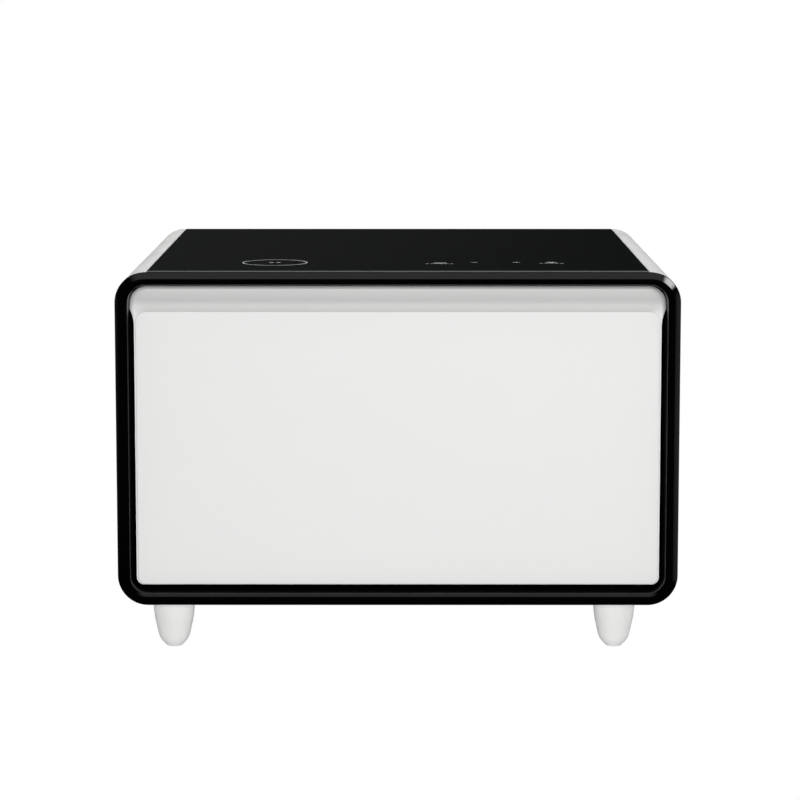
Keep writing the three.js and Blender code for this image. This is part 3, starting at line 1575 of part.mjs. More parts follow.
function compressor() {
  const seam = SHELL_BOTTOM + SHELL_HEIGHT * SEAM_HEIGHT_SHARE;
  const shoulder = SHELL_RADIUS / 2;
  const arc = (centreZ, from, to) => {
    const points = [];
    for (let step = 0; step <= DOME_STEPS; step++) {
      const angle = THREE.MathUtils.lerp(from, to, step / DOME_STEPS);
      points.push([
        SHELL_RADIUS - shoulder + shoulder * Math.cos(angle),
        centreZ + shoulder * Math.sin(angle),
      ]);
    }
    return points;
  };
  const shell = turned([
    [0, SHELL_BOTTOM],
    ...arc(SHELL_BOTTOM + shoulder, -Math.PI / 2, 0),
    [SHELL_RADIUS, seam - SHELL_SEAM],
    [SHELL_RADIUS + SHELL_SEAM, seam - SHELL_SEAM],
    [SHELL_RADIUS + SHELL_SEAM, seam],
    [SHELL_RADIUS, seam],
    ...arc(SHELL_TOP - shoulder, 0, Math.PI / 2),
    [0, SHELL_TOP],
  ]).scale(SHELL_STRETCH_SHARE, 1, 1);
  const foot = prismAlongZ(
    roundedOutline(-FOOT_WIDTH / 2, FOOT_WIDTH / 2, -FOOT_LENGTH / 2, FOOT_LENGTH / 2, FOOT_INSET),
    FOOT_LIFT,
    FOOT_TOP,
  );
  const holes = [];
  for (const signX of [-1, 1]) {
    for (const signY of [-1, 1]) {
      holes.push(
        rodAlongZ(
          GROMMET_WAIST + FIT,
          signX * FOOT_X,
          signY * FOOT_Y,
          FOOT_LIFT - OVERRUN,
          FOOT_TOP + OVERRUN,
        ),
      );
    }
  }
  const stubs = [-SUCTION_STUB_Y, SUCTION_STUB_Y].map((y) =>
    rodAlongX(STUB_RADIUS, y, STUB_Z, STUB_X, 0, TUBE_SIDES),
  );
  return joined(cut(foot, ...holes), shell, ...stubs);
}

const COMPRESSOR_PLACE = [COMPRESSOR_X, MACHINE_Y, MACHINE_BASE_TOP_Z + FIT];
place(cooling, "compressor", compressor(), "black_enamel", COMPRESSOR_PLACE);

function compressorGrommet() {
  const bore = MOUNT_PIN_RADIUS + FIT;
  return turned([
    [bore, 0],
    [GROMMET_RADIUS, 0],
    [GROMMET_RADIUS, FOOT_LIFT - FIT],
    [GROMMET_WAIST, FOOT_LIFT - FIT],
    [GROMMET_WAIST, FOOT_TOP + FIT],
    [GROMMET_RADIUS, FOOT_TOP + FIT],
    [GROMMET_RADIUS, FOOT_TOP + GROMMET_CAP],
    [bore, FOOT_TOP + GROMMET_CAP],
    [bore, 0],
  ], GROMMET_SIDES);
}

for (const foot of COMPRESSOR_FEET) {
  place(cooling, `compressor_grommet_${foot.name}`, compressorGrommet(), "rubber", [
    foot.x,
    foot.y,
    MACHINE_BASE_TOP_Z + FIT,
  ]);
}

place(
  cooling,
  "compressor_terminal_cover",
  box(
    SEAM_REACH + FIT,
    SEAM_REACH + FIT + TERMINAL_WIDTH,
    -TERMINAL_LENGTH / 2,
    TERMINAL_LENGTH / 2,
    TERMINAL_LIFT,
    TERMINAL_LIFT + TERMINAL_HEIGHT,
  ),
  "black_plastic",
  COMPRESSOR_PLACE,
);

// Drip pan: catches the defrost water above the warm compressor
function dripPan() {
  const ringAt = (inset, z) =>
    roundedOutline(
      inset - PAN_WIDTH / 2,
      PAN_WIDTH / 2 - inset,
      inset - PAN_LENGTH / 2,
      PAN_LENGTH / 2 - inset,
      PAN_RADIUS,
    ).map((point) => new THREE.Vector3(point.x, point.y, z));
  const outside = skin([ringAt(PAN_DRAFT, 0), ringAt(0, PAN_HEIGHT)], false);
  const inside = skin(
    [ringAt(PAN_DRAFT + PAN_WALL, PAN_WALL), ringAt(PAN_WALL, PAN_HEIGHT + OVERRUN)],
    false,
  );
  return cut(outside, inside);
}

place(cooling, "drip_pan", dripPan(), "white_plastic", [
  COMPRESSOR_X,
  MACHINE_Y,
  MACHINE_BASE_TOP_Z + FIT + SHELL_TOP + FIT,
]);

// Condenser and its fan, side by side on the machine base
const CONDENSER_FAN_SIDE = MACHINE_ROOM_LENGTH - 2 * CONDENSER_FAN_ROOM;
const CONDENSER_LENGTH = MACHINE_ROOM_LENGTH - 2 * CONDENSER_END_ROOM;
const CONDENSER_HEIGHT = CONDENSER_FAN_SIDE - 2 * CONDENSER_FAN_GAP;
place(
  cooling,
  "condenser_coil",
  finnedCoil(CONDENSER_LENGTH, CONDENSER_HEIGHT, CONDENSER_THICKNESS),
  "fins",
  [CONDENSER_X, MACHINE_Y, MACHINE_BASE_TOP_Z + FIT],
  [0, 0, Math.PI / 2],
);
const CONDENSER_FAN_X = CONDENSER_X + CONDENSER_THICKNESS / 2 + CONDENSER_FAN_GAP;
const CONDENSER_FAN_Z = MACHINE_BASE_TOP_Z + FIT + CONDENSER_FAN_SIDE / 2;
const FACING_RIGHT = [0, Math.PI / 2, 0];
place(
  cooling,
  "condenser_fan_frame",
  fanFrame(CONDENSER_FAN_SIDE),
  "black_plastic",
  [CONDENSER_FAN_X, MACHINE_Y, CONDENSER_FAN_Z],
  FACING_RIGHT,
);
place(
  cooling,
  "condenser_fan_rotor",
  fanRotor(CONDENSER_FAN_SIDE),
  "black_plastic",
  [CONDENSER_FAN_X + FAN_MOUNT + FIT, MACHINE_Y, CONDENSER_FAN_Z],
  FACING_RIGHT,
);

// Filter drier: a copper cartridge with drawn-in necks
function filterDrier() {
  return turned([
    [0, 0],
    [TUBE_RADIUS, 0],
    [TUBE_RADIUS, DRIER_NECK / 2],
    [DRIER_RADIUS, DRIER_NECK],
    [DRIER_RADIUS, DRIER_LENGTH - DRIER_NECK],
    [TUBE_RADIUS, DRIER_LENGTH - DRIER_NECK / 2],
    [TUBE_RADIUS, DRIER_LENGTH],
    [0, DRIER_LENGTH],
  ]);
}

const DRIER_BOTTOM_Z = MACHINE_BASE_TOP_Z + DRIER_LIFT;
place(cooling, "filter_drier", filterDrier(), "copper", [DRIER_X, MACHINE_Y, DRIER_BOTTOM_Z]);

// Refrigerant lines
function point(x, y, z) {
  return new THREE.Vector3(x, y, z);
}

const STUB_END_X = COMPRESSOR_X + STUB_X - FIT;
const STUB_WORLD_Z = MACHINE_BASE_TOP_Z + FIT + STUB_Z;
const CONDENSER_PITCH = CONDENSER_HEIGHT / COIL_ROWS;
const CONDENSER_TOP_Z = MACHINE_BASE_TOP_Z + FIT + CONDENSER_HEIGHT - CONDENSER_PITCH / 2;
const CONDENSER_LOW_Z = MACHINE_BASE_TOP_Z + FIT + CONDENSER_PITCH / 2;
const CONDENSER_END_Y = MACHINE_Y - CONDENSER_LENGTH / 2 - FIT;
const OVER_FAN_Z = CONDENSER_FAN_Z + CONDENSER_FAN_SIDE / 2 + TUBE_BEND;

function dischargeTube() {
  return bentTube(
    [
      point(STUB_END_X, MACHINE_Y - SUCTION_STUB_Y, STUB_WORLD_Z),
      point(STUB_END_X - TUBE_BEND, MACHINE_Y - SUCTION_STUB_Y, STUB_WORLD_Z),
      point(STUB_END_X - TUBE_BEND, MACHINE_Y - SUCTION_STUB_Y, OVER_FAN_Z),
      point(CONDENSER_X, MACHINE_Y - SUCTION_STUB_Y, OVER_FAN_Z),
      point(CONDENSER_X, CONDENSER_END_Y - TUBE_BEND, OVER_FAN_Z),
      point(CONDENSER_X, CONDENSER_END_Y - TUBE_BEND, CONDENSER_TOP_Z),
      point(CONDENSER_X, CONDENSER_END_Y, CONDENSER_TOP_Z),
    ],
    TUBE_RADIUS,
    TUBE_BEND / 2,
  );
}

place(cooling, "discharge_tube", dischargeTube(), "copper");

function liquidTube() {
  return bentTube(
    [
      point(CONDENSER_X, CONDENSER_END_Y, CONDENSER_LOW_Z),
      point(CONDENSER_X, CONDENSER_END_Y - TUBE_BEND, CONDENSER_LOW_Z),
      point(DRIER_X, CONDENSER_END_Y - TUBE_BEND, CONDENSER_LOW_Z),
      point(DRIER_X, MACHINE_Y, CONDENSER_LOW_Z),
      point(DRIER_X, MACHINE_Y, DRIER_BOTTOM_Z - FIT),
    ],
    TUBE_RADIUS,
    TUBE_BEND / 2,
  );
}

place(cooling, "liquid_tube", liquidTube(), "copper");

const EVAPORATOR_PITCH = EVAPORATOR_HEIGHT / COIL_ROWS;
const EVAPORATOR_LOW_Z = EVAPORATOR_BASE_Z + EVAPORATOR_PITCH / 2;
const EVAPORATOR_TOP_Z = EVAPORATOR_BASE_Z + EVAPORATOR_HEIGHT - EVAPORATOR_PITCH / 2;
const EVAPORATOR_LEFT_X = EVAPORATOR_X - EVAPORATOR_LENGTH / 2 - FIT;

function capillaryTube() {
  return bentTube(
    [
      point(DRIER_X, MACHINE_Y, DRIER_BOTTOM_Z + DRIER_LENGTH + FIT),
      point(DRIER_X, MACHINE_Y, CAPILLARY_Z),
      point(CAPILLARY_X, MACHINE_Y, CAPILLARY_Z),
      point(CAPILLARY_X, EVAPORATOR_Y, CAPILLARY_Z),
      point(CAPILLARY_X, EVAPORATOR_Y, EVAPORATOR_LOW_Z),
      point(EVAPORATOR_LEFT_X, EVAPORATOR_Y, EVAPORATOR_LOW_Z),
    ],
    CAPILLARY_RADIUS,
    TUBE_BEND / 2,
    COIL_SIDES,
  );
}

place(cooling, "capillary_tube", capillaryTube(), "copper");

function suctionTube() {
  return bentTube(
    [
      point(EVAPORATOR_LEFT_X, EVAPORATOR_Y, EVAPORATOR_TOP_Z),
      point(SUCTION_X, EVAPORATOR_Y, EVAPORATOR_TOP_Z),
      point(SUCTION_X, EVAPORATOR_Y, SUCTION_Z),
      point(SUCTION_X, MACHINE_Y + SUCTION_STUB_Y, SUCTION_Z),
      point(STUB_END_X - TUBE_BEND, MACHINE_Y + SUCTION_STUB_Y, SUCTION_Z),
      point(STUB_END_X - TUBE_BEND, MACHINE_Y + SUCTION_STUB_Y, STUB_WORLD_Z),
      point(STUB_END_X, MACHINE_Y + SUCTION_STUB_Y, STUB_WORLD_Z),
    ],
    TUBE_RADIUS,
    TUBE_BEND / 2,
  );
}

place(cooling, "suction_tube", suctionTube(), "copper");

// Electronics on the bulkhead
const BULKHEAD_BACK = atDepth(MACHINE_ROOM_DEPTH) + FIT + SHEET;
const SUPPLY_LEFT_X = SUPPLY_SIDE_INSET - HALF_WIDTH;
const SUPPLY_RIGHT_X = CAPILLARY_X - LINE_HOLE_RADIUS;
const SUPPLY_BOTTOM_Z = BOTTOM_Z + BODY_HEIGHT * SUPPLY_LIFT_SHARE;

place(
  cooling,
  "power_supply",
  box(
    SUPPLY_LEFT_X,
    SUPPLY_RIGHT_X,
    BULKHEAD_BACK + FIT,
    BULKHEAD_BACK + FIT + SUPPLY_LENGTH,
    SUPPLY_BOTTOM_Z,
    SUPPLY_BOTTOM_Z + BODY_HEIGHT * SUPPLY_HEIGHT_SHARE,
  ),
  "bare_steel",
);

function controlBoard() {
  const front = BULKHEAD_BACK + FIT;
  const bottom = BOTTOM_Z + BODY_HEIGHT * CONTROL_LIFT_SHARE;
  const height = BODY_HEIGHT * CONTROL_HEIGHT_SHARE;
  const right = SUPPLY_RIGHT_X;
  const face = front + STANDOFF;
  const board = box(
    SUPPLY_LEFT_X,
    right,
    face,
    face + BOARD_THICKNESS,
    bottom,
    bottom + height,
  );
  const edge = STANDOFF;
  const posts = [];
  for (const x of [SUPPLY_LEFT_X + edge, right - edge]) {
    for (const z of [bottom + edge, bottom + height - edge]) {
      posts.push(rodAlongY(STANDOFF_RADIUS, x, z, front, face + BOARD_THICKNESS / 2, TUBE_SIDES));
    }
  }
  const chips = [1, 2, 3].map((place) => {
    const x = SUPPLY_LEFT_X + (place * (right - SUPPLY_LEFT_X)) / 4;
    const z = bottom + height / 2;
    const half = CHIP_HEIGHT * (place / 3);
    return box(
      x - CHIP_HEIGHT / 2,
      x + CHIP_HEIGHT / 2,
      face + BOARD_THICKNESS / 2,
      face + BOARD_THICKNESS + CHIP_HEIGHT,
      z - half,
      z + half,
    );
  });
  return joined(board, ...posts, ...chips);
}

place(cooling, "control_board", controlBoard(), "board");

export default table;
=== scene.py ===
import math

import bmesh
import bpy
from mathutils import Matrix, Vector


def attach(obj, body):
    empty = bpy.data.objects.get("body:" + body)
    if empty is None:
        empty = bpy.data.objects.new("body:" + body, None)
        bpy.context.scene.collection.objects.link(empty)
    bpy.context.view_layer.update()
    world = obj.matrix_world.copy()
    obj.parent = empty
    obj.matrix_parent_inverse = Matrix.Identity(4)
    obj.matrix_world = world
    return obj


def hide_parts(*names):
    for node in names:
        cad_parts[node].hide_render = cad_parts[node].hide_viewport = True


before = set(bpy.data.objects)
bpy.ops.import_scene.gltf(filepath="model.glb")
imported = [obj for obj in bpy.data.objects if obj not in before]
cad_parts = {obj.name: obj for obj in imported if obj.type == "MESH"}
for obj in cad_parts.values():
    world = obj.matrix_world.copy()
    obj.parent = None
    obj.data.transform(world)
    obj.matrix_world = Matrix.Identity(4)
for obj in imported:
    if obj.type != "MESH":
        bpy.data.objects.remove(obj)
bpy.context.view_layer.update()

MM = 0.001
# Faces that meet at more than this angle keep a sharp edge between them
SHARP_DEGREES = 38
# Points nearer than this, in metres, are made one
SAME_PLACE = 1e-7

# Cabinet sizes
HALF_WIDTH = 325
FRONT_Y = -330
BACK_Y = 330
BOTTOM_Z = 66
TOP_Z = 454
CORNER = 35
SHEET = 1.5
FLAT_HALF_WIDTH = HALF_WIDTH - CORNER
CORNER_STEPS = 14

# Glass sizes
GLASS_HALF_WIDTH = 289.7
GLASS_FRONT_Y = -302
GLASS_BOTTOM_Z = 449
GLASS_LOWER_EDGE = 0.4
PRINT = 0.05
GLASS_TOP_Z = TOP_Z - PRINT
GROUND_EDGE = 0.9

# Drawer sizes
DRAWER_HALF_WIDTH = 307.5
DRAWER_BOTTOM_Z = 83.5
DRAWER_TOP_Z = 436.5
DRAWER_CORNER = 13


def depth(distance):
    """Y of a place that lies the given distance behind the bezel's ridge."""
    return FRONT_Y + distance


# Outlines and shapes

# A rounded corner takes at most this share of the shorter side beside it, and at least this length
CORNER_SHARE = 0.499
CORNER_LEAST = 1e-3
OUTLINE_LEAST_RADIUS = 0.3


def rounded(corners, radii, steps=6):
    """A closed path through 2D corners, each turned to its own radius."""
    path = []
    for index, corner in enumerate(corners):
        here = Vector(corner)
        back = Vector(corners[index - 1]) - here
        ahead = Vector(corners[(index + 1) % len(corners)]) - here
        half_turn = back.angle(ahead) / 2
        reach = radii[index] / math.tan(half_turn)
        longest = min(back.length, ahead.length) * CORNER_SHARE
        reach = max(min(reach, longest), CORNER_LEAST)
        radius = reach * math.tan(half_turn)
        middle = (back.normalized() + ahead.normalized()).normalized()
        centre = here + middle * (radius / math.sin(half_turn))
        start = here + back.normalized() * reach - centre
        end = here + ahead.normalized() * reach - centre
        first = math.atan2(start.y, start.x)
        sweep = math.atan2(start.x * end.y - start.y * end.x, start.dot(end))
        for step in range(steps + 1):
            angle = first + sweep * step / steps
            path.append((centre.x + radius * math.cos(angle), centre.y + radius * math.sin(angle)))
    return path


def frame_outline(half_width, bottom, top, radius, steps=CORNER_STEPS):
    """A rounded upright rectangle of (x, z) points, seen from the front."""
    corners = [(half_width, bottom), (half_width, top), (-half_width, top), (-half_width, bottom)]
    return rounded(corners, [max(radius, OUTLINE_LEAST_RADIUS)] * 4, steps)


def body_outline(inset, steps=CORNER_STEPS):
    """The cabinet's own outline, drawn in by an inset."""
    return frame_outline(HALF_WIDTH - inset, BOTTOM_Z + inset, TOP_Z - inset, CORNER - inset, steps)


def drawer_outline(inset, steps=CORNER_STEPS):
    """The drawer's own outline, drawn in by an inset."""
    bottom = DRAWER_BOTTOM_Z + inset
    top = DRAWER_TOP_Z - inset
    return frame_outline(DRAWER_HALF_WIDTH - inset, bottom, top, DRAWER_CORNER - inset, steps)


def loft(rings, looped=False):
    """A skin over rings of 3D points. Looped rings meet each other, others are capped."""
    count = len(rings[0])
    spans = len(rings) if looped else len(rings) - 1
    faces = []
    for ring in range(spans):
        here = ring * count
        there = ((ring + 1) % len(rings)) * count
        for point in range(count):
            beside = (point + 1) % count
            faces.append((here + point, here + beside, there + beside, there + point))
    if not looped:
        last = (len(rings) - 1) * count
        faces.append(tuple(range(count - 1, -1, -1)))
        faces.append(tuple(last + point for point in range(count)))
    return [point for ring in rings for point in ring], faces


def upright(outline, y):
    """An outline of (x, z) points stood at one depth."""
    return [(x, y, z) for x, z in outline]


def swept(profile, outline_at):
    """A frame: a closed profile of (inset, depth) run round an outline."""
    return loft([upright(outline_at(inset), depth(distance)) for inset, distance in profile], True)


def block(left, right, front, back, bottom, top):
    """A plain block, for a cutting shape or a piece whose edges are rounded afterwards."""
    ring = [(left, front), (right, front), (right, back), (left, back)]
    return loft([[(x, y, z) for x, y in ring] for z in (bottom, top)])


def prism_along_y(outline, front, back):
    """An outline of (x, z) points run from front to back."""
    return loft([upright(outline, front), upright(outline, back)])


def turned(profile, sides, place):
    """A profile of (radius, height) points turned round an upright axis through a place."""
    vertices, faces, rings = [], [], []
    for radius, height in profile:
        if radius == 0:
            rings.append([len(vertices)] * sides)
            vertices.append((0, 0, height))
            continue
        rings.append(list(range(len(vertices), len(vertices) + sides)))
        for side in range(sides):
            angle = math.tau * side / sides
            vertices.append((radius * math.cos(angle), radius * math.sin(angle), height))
    for lower, upper in zip(rings, rings[1:]):
        for side in range(sides):
            beside = (side + 1) % sides
            corners = [lower[side], lower[beside], upper[beside], upper[side]]
            face = tuple(dict.fromkeys(corners))
            if len(face) > 2:
                faces.append(face)
    moved = [tuple(a + b for a, b in zip(vertex, place)) for vertex in vertices]
    return moved, faces


def together(*shapes):
    """Several shapes as one."""
    vertices, faces = [], []
    for shape_vertices, shape_faces in shapes:
        base = len(vertices)
        vertices += shape_vertices
        faces += [tuple(base + index for index in face) for face in shape_faces]
    return vertices, faces


def mesh_object(name, shape, sharp_degrees=SHARP_DEGREES):
    """An object of a shape in millimetres, with smooth faces between its sharp edges."""
    mesh = bpy.data.meshes.new(name)
    mesh.from_pydata([[value * MM for value in vertex] for vertex in shape[0]], [], shape[1])
    build = bmesh.new()
    build.from_mesh(mesh)
    bmesh.ops.remove_doubles(build, verts=build.verts, dist=SAME_PLACE)
    bmesh.ops.recalc_face_normals(build, faces=build.faces)
    build.to_mesh(mesh)
    build.free()
    mesh.shade_smooth()
    mesh.set_sharp_from_angle(angle=math.radians(sharp_degrees))
    made = bpy.data.objects.new(name, mesh)
    bpy.context.scene.collection.objects.link(made)
    return made


def cut_out(body, shape):
    """Takes a shape out of a piece."""
    tool = mesh_object(body.name + "_tool", shape)
    modifier = body.modifiers.new("cut", "BOOLEAN")
    modifier.object = tool
    modifier.operation = "DIFFERENCE"
    modifier.solver = "EXACT"
    bpy.context.view_layer.update()
    whole = body.evaluated_get(bpy.context.evaluated_depsgraph_get())
    mesh = bpy.data.meshes.new_from_object(whole)
    body.modifiers.clear()
    body.data = mesh
    mesh.shade_smooth()
    mesh.set_sharp_from_angle(angle=math.radians(SHARP_DEGREES))
    bpy.data.objects.remove(tool)


def soften(body, width, segments=3, angle_degrees=SHARP_DEGREES):
    """Rounds the sharp edges of a piece, as moulding or bending leaves them."""
    modifier = body.modifiers.new("soft_edges", "BEVEL")
    modifier.width = width * MM
    modifier.segments = segments
    modifier.limit_method = "ANGLE"
    modifier.angle_limit = math.radians(angle_degrees)
    modifier.harden_normals = True
    modifier.use_clamp_overlap = True


def settle(body, finishes, on="cabinet", stands_for=None):
    """Gives a piece its finishes and the body that it rides on."""
    for finish in finishes:
        body.data.materials.append(finish)
    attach(body, on)
    if stands_for:
        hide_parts(stands_for)


# Finishes

# Most of a noise texture's values lie between these two
NOISE_LOW, NOISE_HIGH = 0.3, 0.7


def linear(hex_colour):
    """An sRGB hex colour as linear red, green, blue and alpha, by the curve of the sRGB standard."""
    values = [int(hex_colour[place : place + 2], 16) / 255 for place in (1, 3, 5)]
    return [v / 12.92 if v <= 0.04045 else ((v + 0.055) / 1.055) ** 2.4 for v in values] + [1]


def add(tree, kind, sockets=None, **settings):
    """Adds a node with its settings, and sets or links its sockets."""
    node = tree.nodes.new(kind)
    for name, value in settings.items():
        setattr(node, name, value)
    for name, value in (sockets or {}).items():
        if isinstance(value, bpy.types.NodeSocket):
            tree.links.new(value, node.inputs[name])
        else:
            node.inputs[name].default_value = value
    return node


def new_finish(name):
    """An empty material and its tree."""
    finish = bpy.data.materials.new(name)
    finish.use_nodes = True
    finish.node_tree.nodes.clear()
    return finish, finish.node_tree


def surface(tree, sockets):
    """Ends a material's tree in its surface."""
    shader = add(tree, "ShaderNodeBsdfPrincipled", sockets)
    add(tree, "ShaderNodeOutputMaterial", {"Surface": shader.outputs[0]})


def grained(name, colour, tint, patch_mm, grain_mm, grain_depth, roughness, **sockets):
    """A finish whose colour drifts in patches and whose surface has a fine grain.

    Patches, grain and the grain's depth are in millimetres. The two roughness values are those
    of the smoothest and the roughest patch.
    """
    finish, tree = new_finish(name)
    place = add(tree, "ShaderNodeTexCoord").outputs["Object"]
    patches = add(
        tree,
        "ShaderNodeTexNoise",
        {"Vector": place, "Scale": 1 / (patch_mm * MM), "Detail": 3, "Roughness": 0.55},
    )
    shade = add(
        tree,
        "ShaderNodeMix",
        {"Factor": patches.outputs[0], "A": linear(colour), "B": linear(tint)},
        data_type="RGBA",
    )
    gloss = add(
        tree,
        "ShaderNodeMapRange",
        {
            "Value": patches.outputs[0],
            "From Min": NOISE_LOW,
            "From Max": NOISE_HIGH,
            "To Min": roughness[0],
            "To Max": roughness[1],
        },
    )
    grain = add(
        tree, "ShaderNodeTexNoise", {"Vector": place, "Scale": 1 / (grain_mm * MM), "Detail": 2}
    )
    relief = add(
        tree,
        "ShaderNodeBump",
        {"Height": grain.outputs[0], "Strength": 1, "Distance": grain_depth * MM},
    )
    surface(
        tree,
        {
            "Base Color": shade.outputs["Result"],
            "Roughness": gloss.outputs[0],
            "Normal": relief.outputs[0],
            **sockets,
        },
    )
    return finish


# Fired white enamel on folded sheet steel: a bright, slightly wavy shine with a faint orange peel.
enamelled_steel = grained(
    "white_enamelled_steel",
    "#f6f6f5",
    "#f3f3f2",
    patch_mm=90,
    grain_mm=2.2,
    grain_depth=0.0015,
    roughness=(0.22, 0.28),
    IOR=1.52,
)
# Injection-moulded white ABS with a satin tool finish: soft, even highlights and a fine grain.
moulded_white_abs = grained(
    "moulded_white_abs",
    "#fafaf9",
    "#f8f8f7",
    patch_mm=60,
    grain_mm=0.6,
    grain_depth=0.003,
    roughness=(0.34, 0.42),
    IOR=1.53,
)
# Moulded nylon of the legs: white, with a fine grain and a little more gloss than the drawer.
moulded_leg_nylon = grained(
    "moulded_leg_nylon",
    "#f3f3f2",
    "#eeeeed",
    patch_mm=25,
    grain_mm=0.7,
    grain_depth=0.006,
    roughness=(0.24, 0.32),
    IOR=1.53,
)
# Vacuum-formed polystyrene liner: white with a milky shine and slow waves from the forming.
formed_liner = grained(
    "vacuum_formed_polystyrene",
    "#f1f3f3",
    "#e9ecec",
    patch_mm=120,
    grain_mm=14,
    grain_depth=0.05,
    roughness=(0.22, 0.32),
    IOR=1.59,
)
# High-gloss black ABS from a polished mould: deep black with sharp reflections.
glossy_black_abs = grained(
    "polished_black_abs",
    "#020202",
    "#030303",
    patch_mm=80,
    grain_mm=3,
    grain_depth=0.0006,
    roughness=(0.05, 0.07),
    IOR=1.53,
)
# The same ABS from a blasted part of the mould, inside the tunnel: dark and satin.
satin_black_abs = grained(
    "blasted_black_abs",
    "#020202",
    "#040404",
    patch_mm=60,
    grain_mm=0.8,
    grain_depth=0.004,
    roughness=(0.3, 0.38),
    **{"IOR": 1.53, "Specular IOR Level": 0.3},
)
# Black enamel under toughened glass: a flat mirror over deep black, with float waves.
black_backed_glass = grained(
    "black_backed_float_glass",
    "#030608",
    "#040709",
    patch_mm=150,
    grain_mm=120,
    grain_depth=0.002,
    roughness=(0.02, 0.03),
    IOR=1.52,
)
# The pane's ground and frosted edge: a pale grey-green line that catches any light.
ground_glass_edge = grained(
    "ground_glass_edge",
    "#5f6766",
    "#565d5c",
    patch_mm=8,
    grain_mm=0.5,
    grain_depth=0.02,
    roughness=(0.5, 0.65),
    IOR=1.52,
)
# White ceramic ink of the touch marks, screen printed: matt and slightly uneven.
printed_marks_ink = grained(
    "screen_printed_white_ink",
    "#e6ebec",
    "#d9dee0",
    patch_mm=4,
    grain_mm=0.3,
    grain_depth=0.003,
    roughness=(0.45, 0.6),
    IOR=1.5,
)
# Nickel plate of the inlet's contacts: bright metal with a faint brushed haze.
plated_contacts = grained(
    "nickel_plated_brass",
    "#cfc9bb",
    "#bdb7a9",
    patch_mm=6,
    grain_mm=0.4,
    grain_depth=0.003,
    roughness=(0.18, 0.3),
    Metallic=1.0,
)
# Moulded black polyamide of the inlet, fans and covers: charcoal with a sparked grain.
moulded_black_nylon = grained(
    "moulded_black_polyamide",
    "#17181a",
    "#1f2022",
    patch_mm=30,
    grain_mm=0.8,
    grain_depth=0.02,
    roughness=(0.42, 0.55),
    IOR=1.53,
)
# Stove enamel over the compressor's pressed shell: black with a coarse orange peel.
black_shell_enamel = grained(
    "black_stove_enamel",
    "#0d0e0f",
    "#151617",
    patch_mm=40,
    grain_mm=3.5,
    grain_depth=0.03,
    roughness=(0.25, 0.4),
    IOR=1.5,
)
# Moulded black nitrile rubber: dull, dusty and slightly soft looking.
moulded_rubber = grained(
    "moulded_nitrile_rubber",
    "#1b1b1b",
    "#262524",
    patch_mm=12,
    grain_mm=1,
    grain_depth=0.02,
    roughness=(0.7, 0.85),
    IOR=1.52,
)
# Extruded soft PVC of the gasket: light grey, satin, with faint lengthwise dirt.
extruded_gasket = grained(
    "extruded_soft_pvc",
    "#d3d4d1",
    "#c5c6c2",
    patch_mm=35,
    grain_mm=1.4,
    grain_depth=0.01,
    roughness=(0.45, 0.6),
    IOR=1.54,
)
# Frosted polycarbonate over the lamp: milky white with a silky surface.
frosted_lens = grained(
    "frosted_polycarbonate",
    "#f7f8f6",
    "#eef1ef",
    patch_mm=20,
    grain_mm=0.9,
    grain_depth=0.02,
    roughness=(0.4, 0.5),
    IOR=1.58,
)


def hot_dipped_zinc():
    """Galvanised sheet: flat grey crystals of zinc, each with its own brightness."""
    finish, tree = new_finish("galvanised_sheet")
    place = add(tree, "ShaderNodeTexCoord").outputs["Object"]
    spangle, ripple_width, ripple_depth = 9 * MM, 1.5 * MM, 0.004 * MM
    crystals = add(
        tree, "ShaderNodeTexVoronoi", {"Vector": place, "Scale": 1 / spangle, "Randomness": 1.0}
    )
    bright = add(tree, "ShaderNodeSeparateColor", {"Color": crystals.outputs["Color"]})
    shade = add(
        tree,
        "ShaderNodeMix",
        {"Factor": bright.outputs[0], "A": linear("#c3c7c9"), "B": linear("#a4a9ac")},
        data_type="RGBA",
    )
    gloss = add(
        tree, "ShaderNodeMapRange", {"Value": bright.outputs[1], "To Min": 0.3, "To Max": 0.48}
    )
    ripple = add(tree, "ShaderNodeTexNoise", {"Vector": place, "Scale": 1 / ripple_width})
    relief = add(
        tree,
        "ShaderNodeBump",
        {"Height": ripple.outputs[0], "Strength": 1, "Distance": ripple_depth},
    )
    surface(
        tree,
        {
            "Base Color": shade.outputs["Result"],
            "Metallic": 1.0,
            "Roughness": gloss.outputs[0],
            "Normal": relief.outputs[0],
        },
    )
    return finish


def drawn_metal(name, bright, dull, roughness):
    """Drawn tube or rolled fin: fine lines along the metal and patches of tarnish."""
    finish, tree = new_finish(name)
    place = add(tree, "ShaderNodeTexCoord").outputs["Object"]
    tarnish_patch, line_depth = 22 * MM, 0.003 * MM
    # Lines to the metre along the three directions: long ones, drawn as coarse as they need to show
    lines_per_metre = (40, 900, 900)
    tarnish = add(
        tree, "ShaderNodeTexNoise", {"Vector": place, "Scale": 1 / tarnish_patch, "Detail": 4}
    )
    shade = add(
        tree,
        "ShaderNodeMix",
        {"Factor": tarnish.outputs[0], "A": linear(bright), "B": linear(dull)},
        data_type="RGBA",
    )
    stretched = add(tree, "ShaderNodeMapping", {"Vector": place, "Scale": lines_per_metre})
    lines = add(tree, "ShaderNodeTexNoise", {"Vector": stretched.outputs[0], "Scale": 1, "Detail": 2})
    gloss = add(
        tree,
        "ShaderNodeMapRange",
        {"Value": lines.outputs[0], "To Min": roughness[0], "To Max": roughness[1]},
    )
    relief = add(
        tree, "ShaderNodeBump", {"Height": lines.outputs[0], "Strength": 1, "Distance": line_depth}
    )
    surface(
        tree,
        {
            "Base Color": shade.outputs["Result"],
            "Metallic": 1.0,
            "Roughness": gloss.outputs[0],
            "Normal": relief.outputs[0],
        },
    )
    return finish


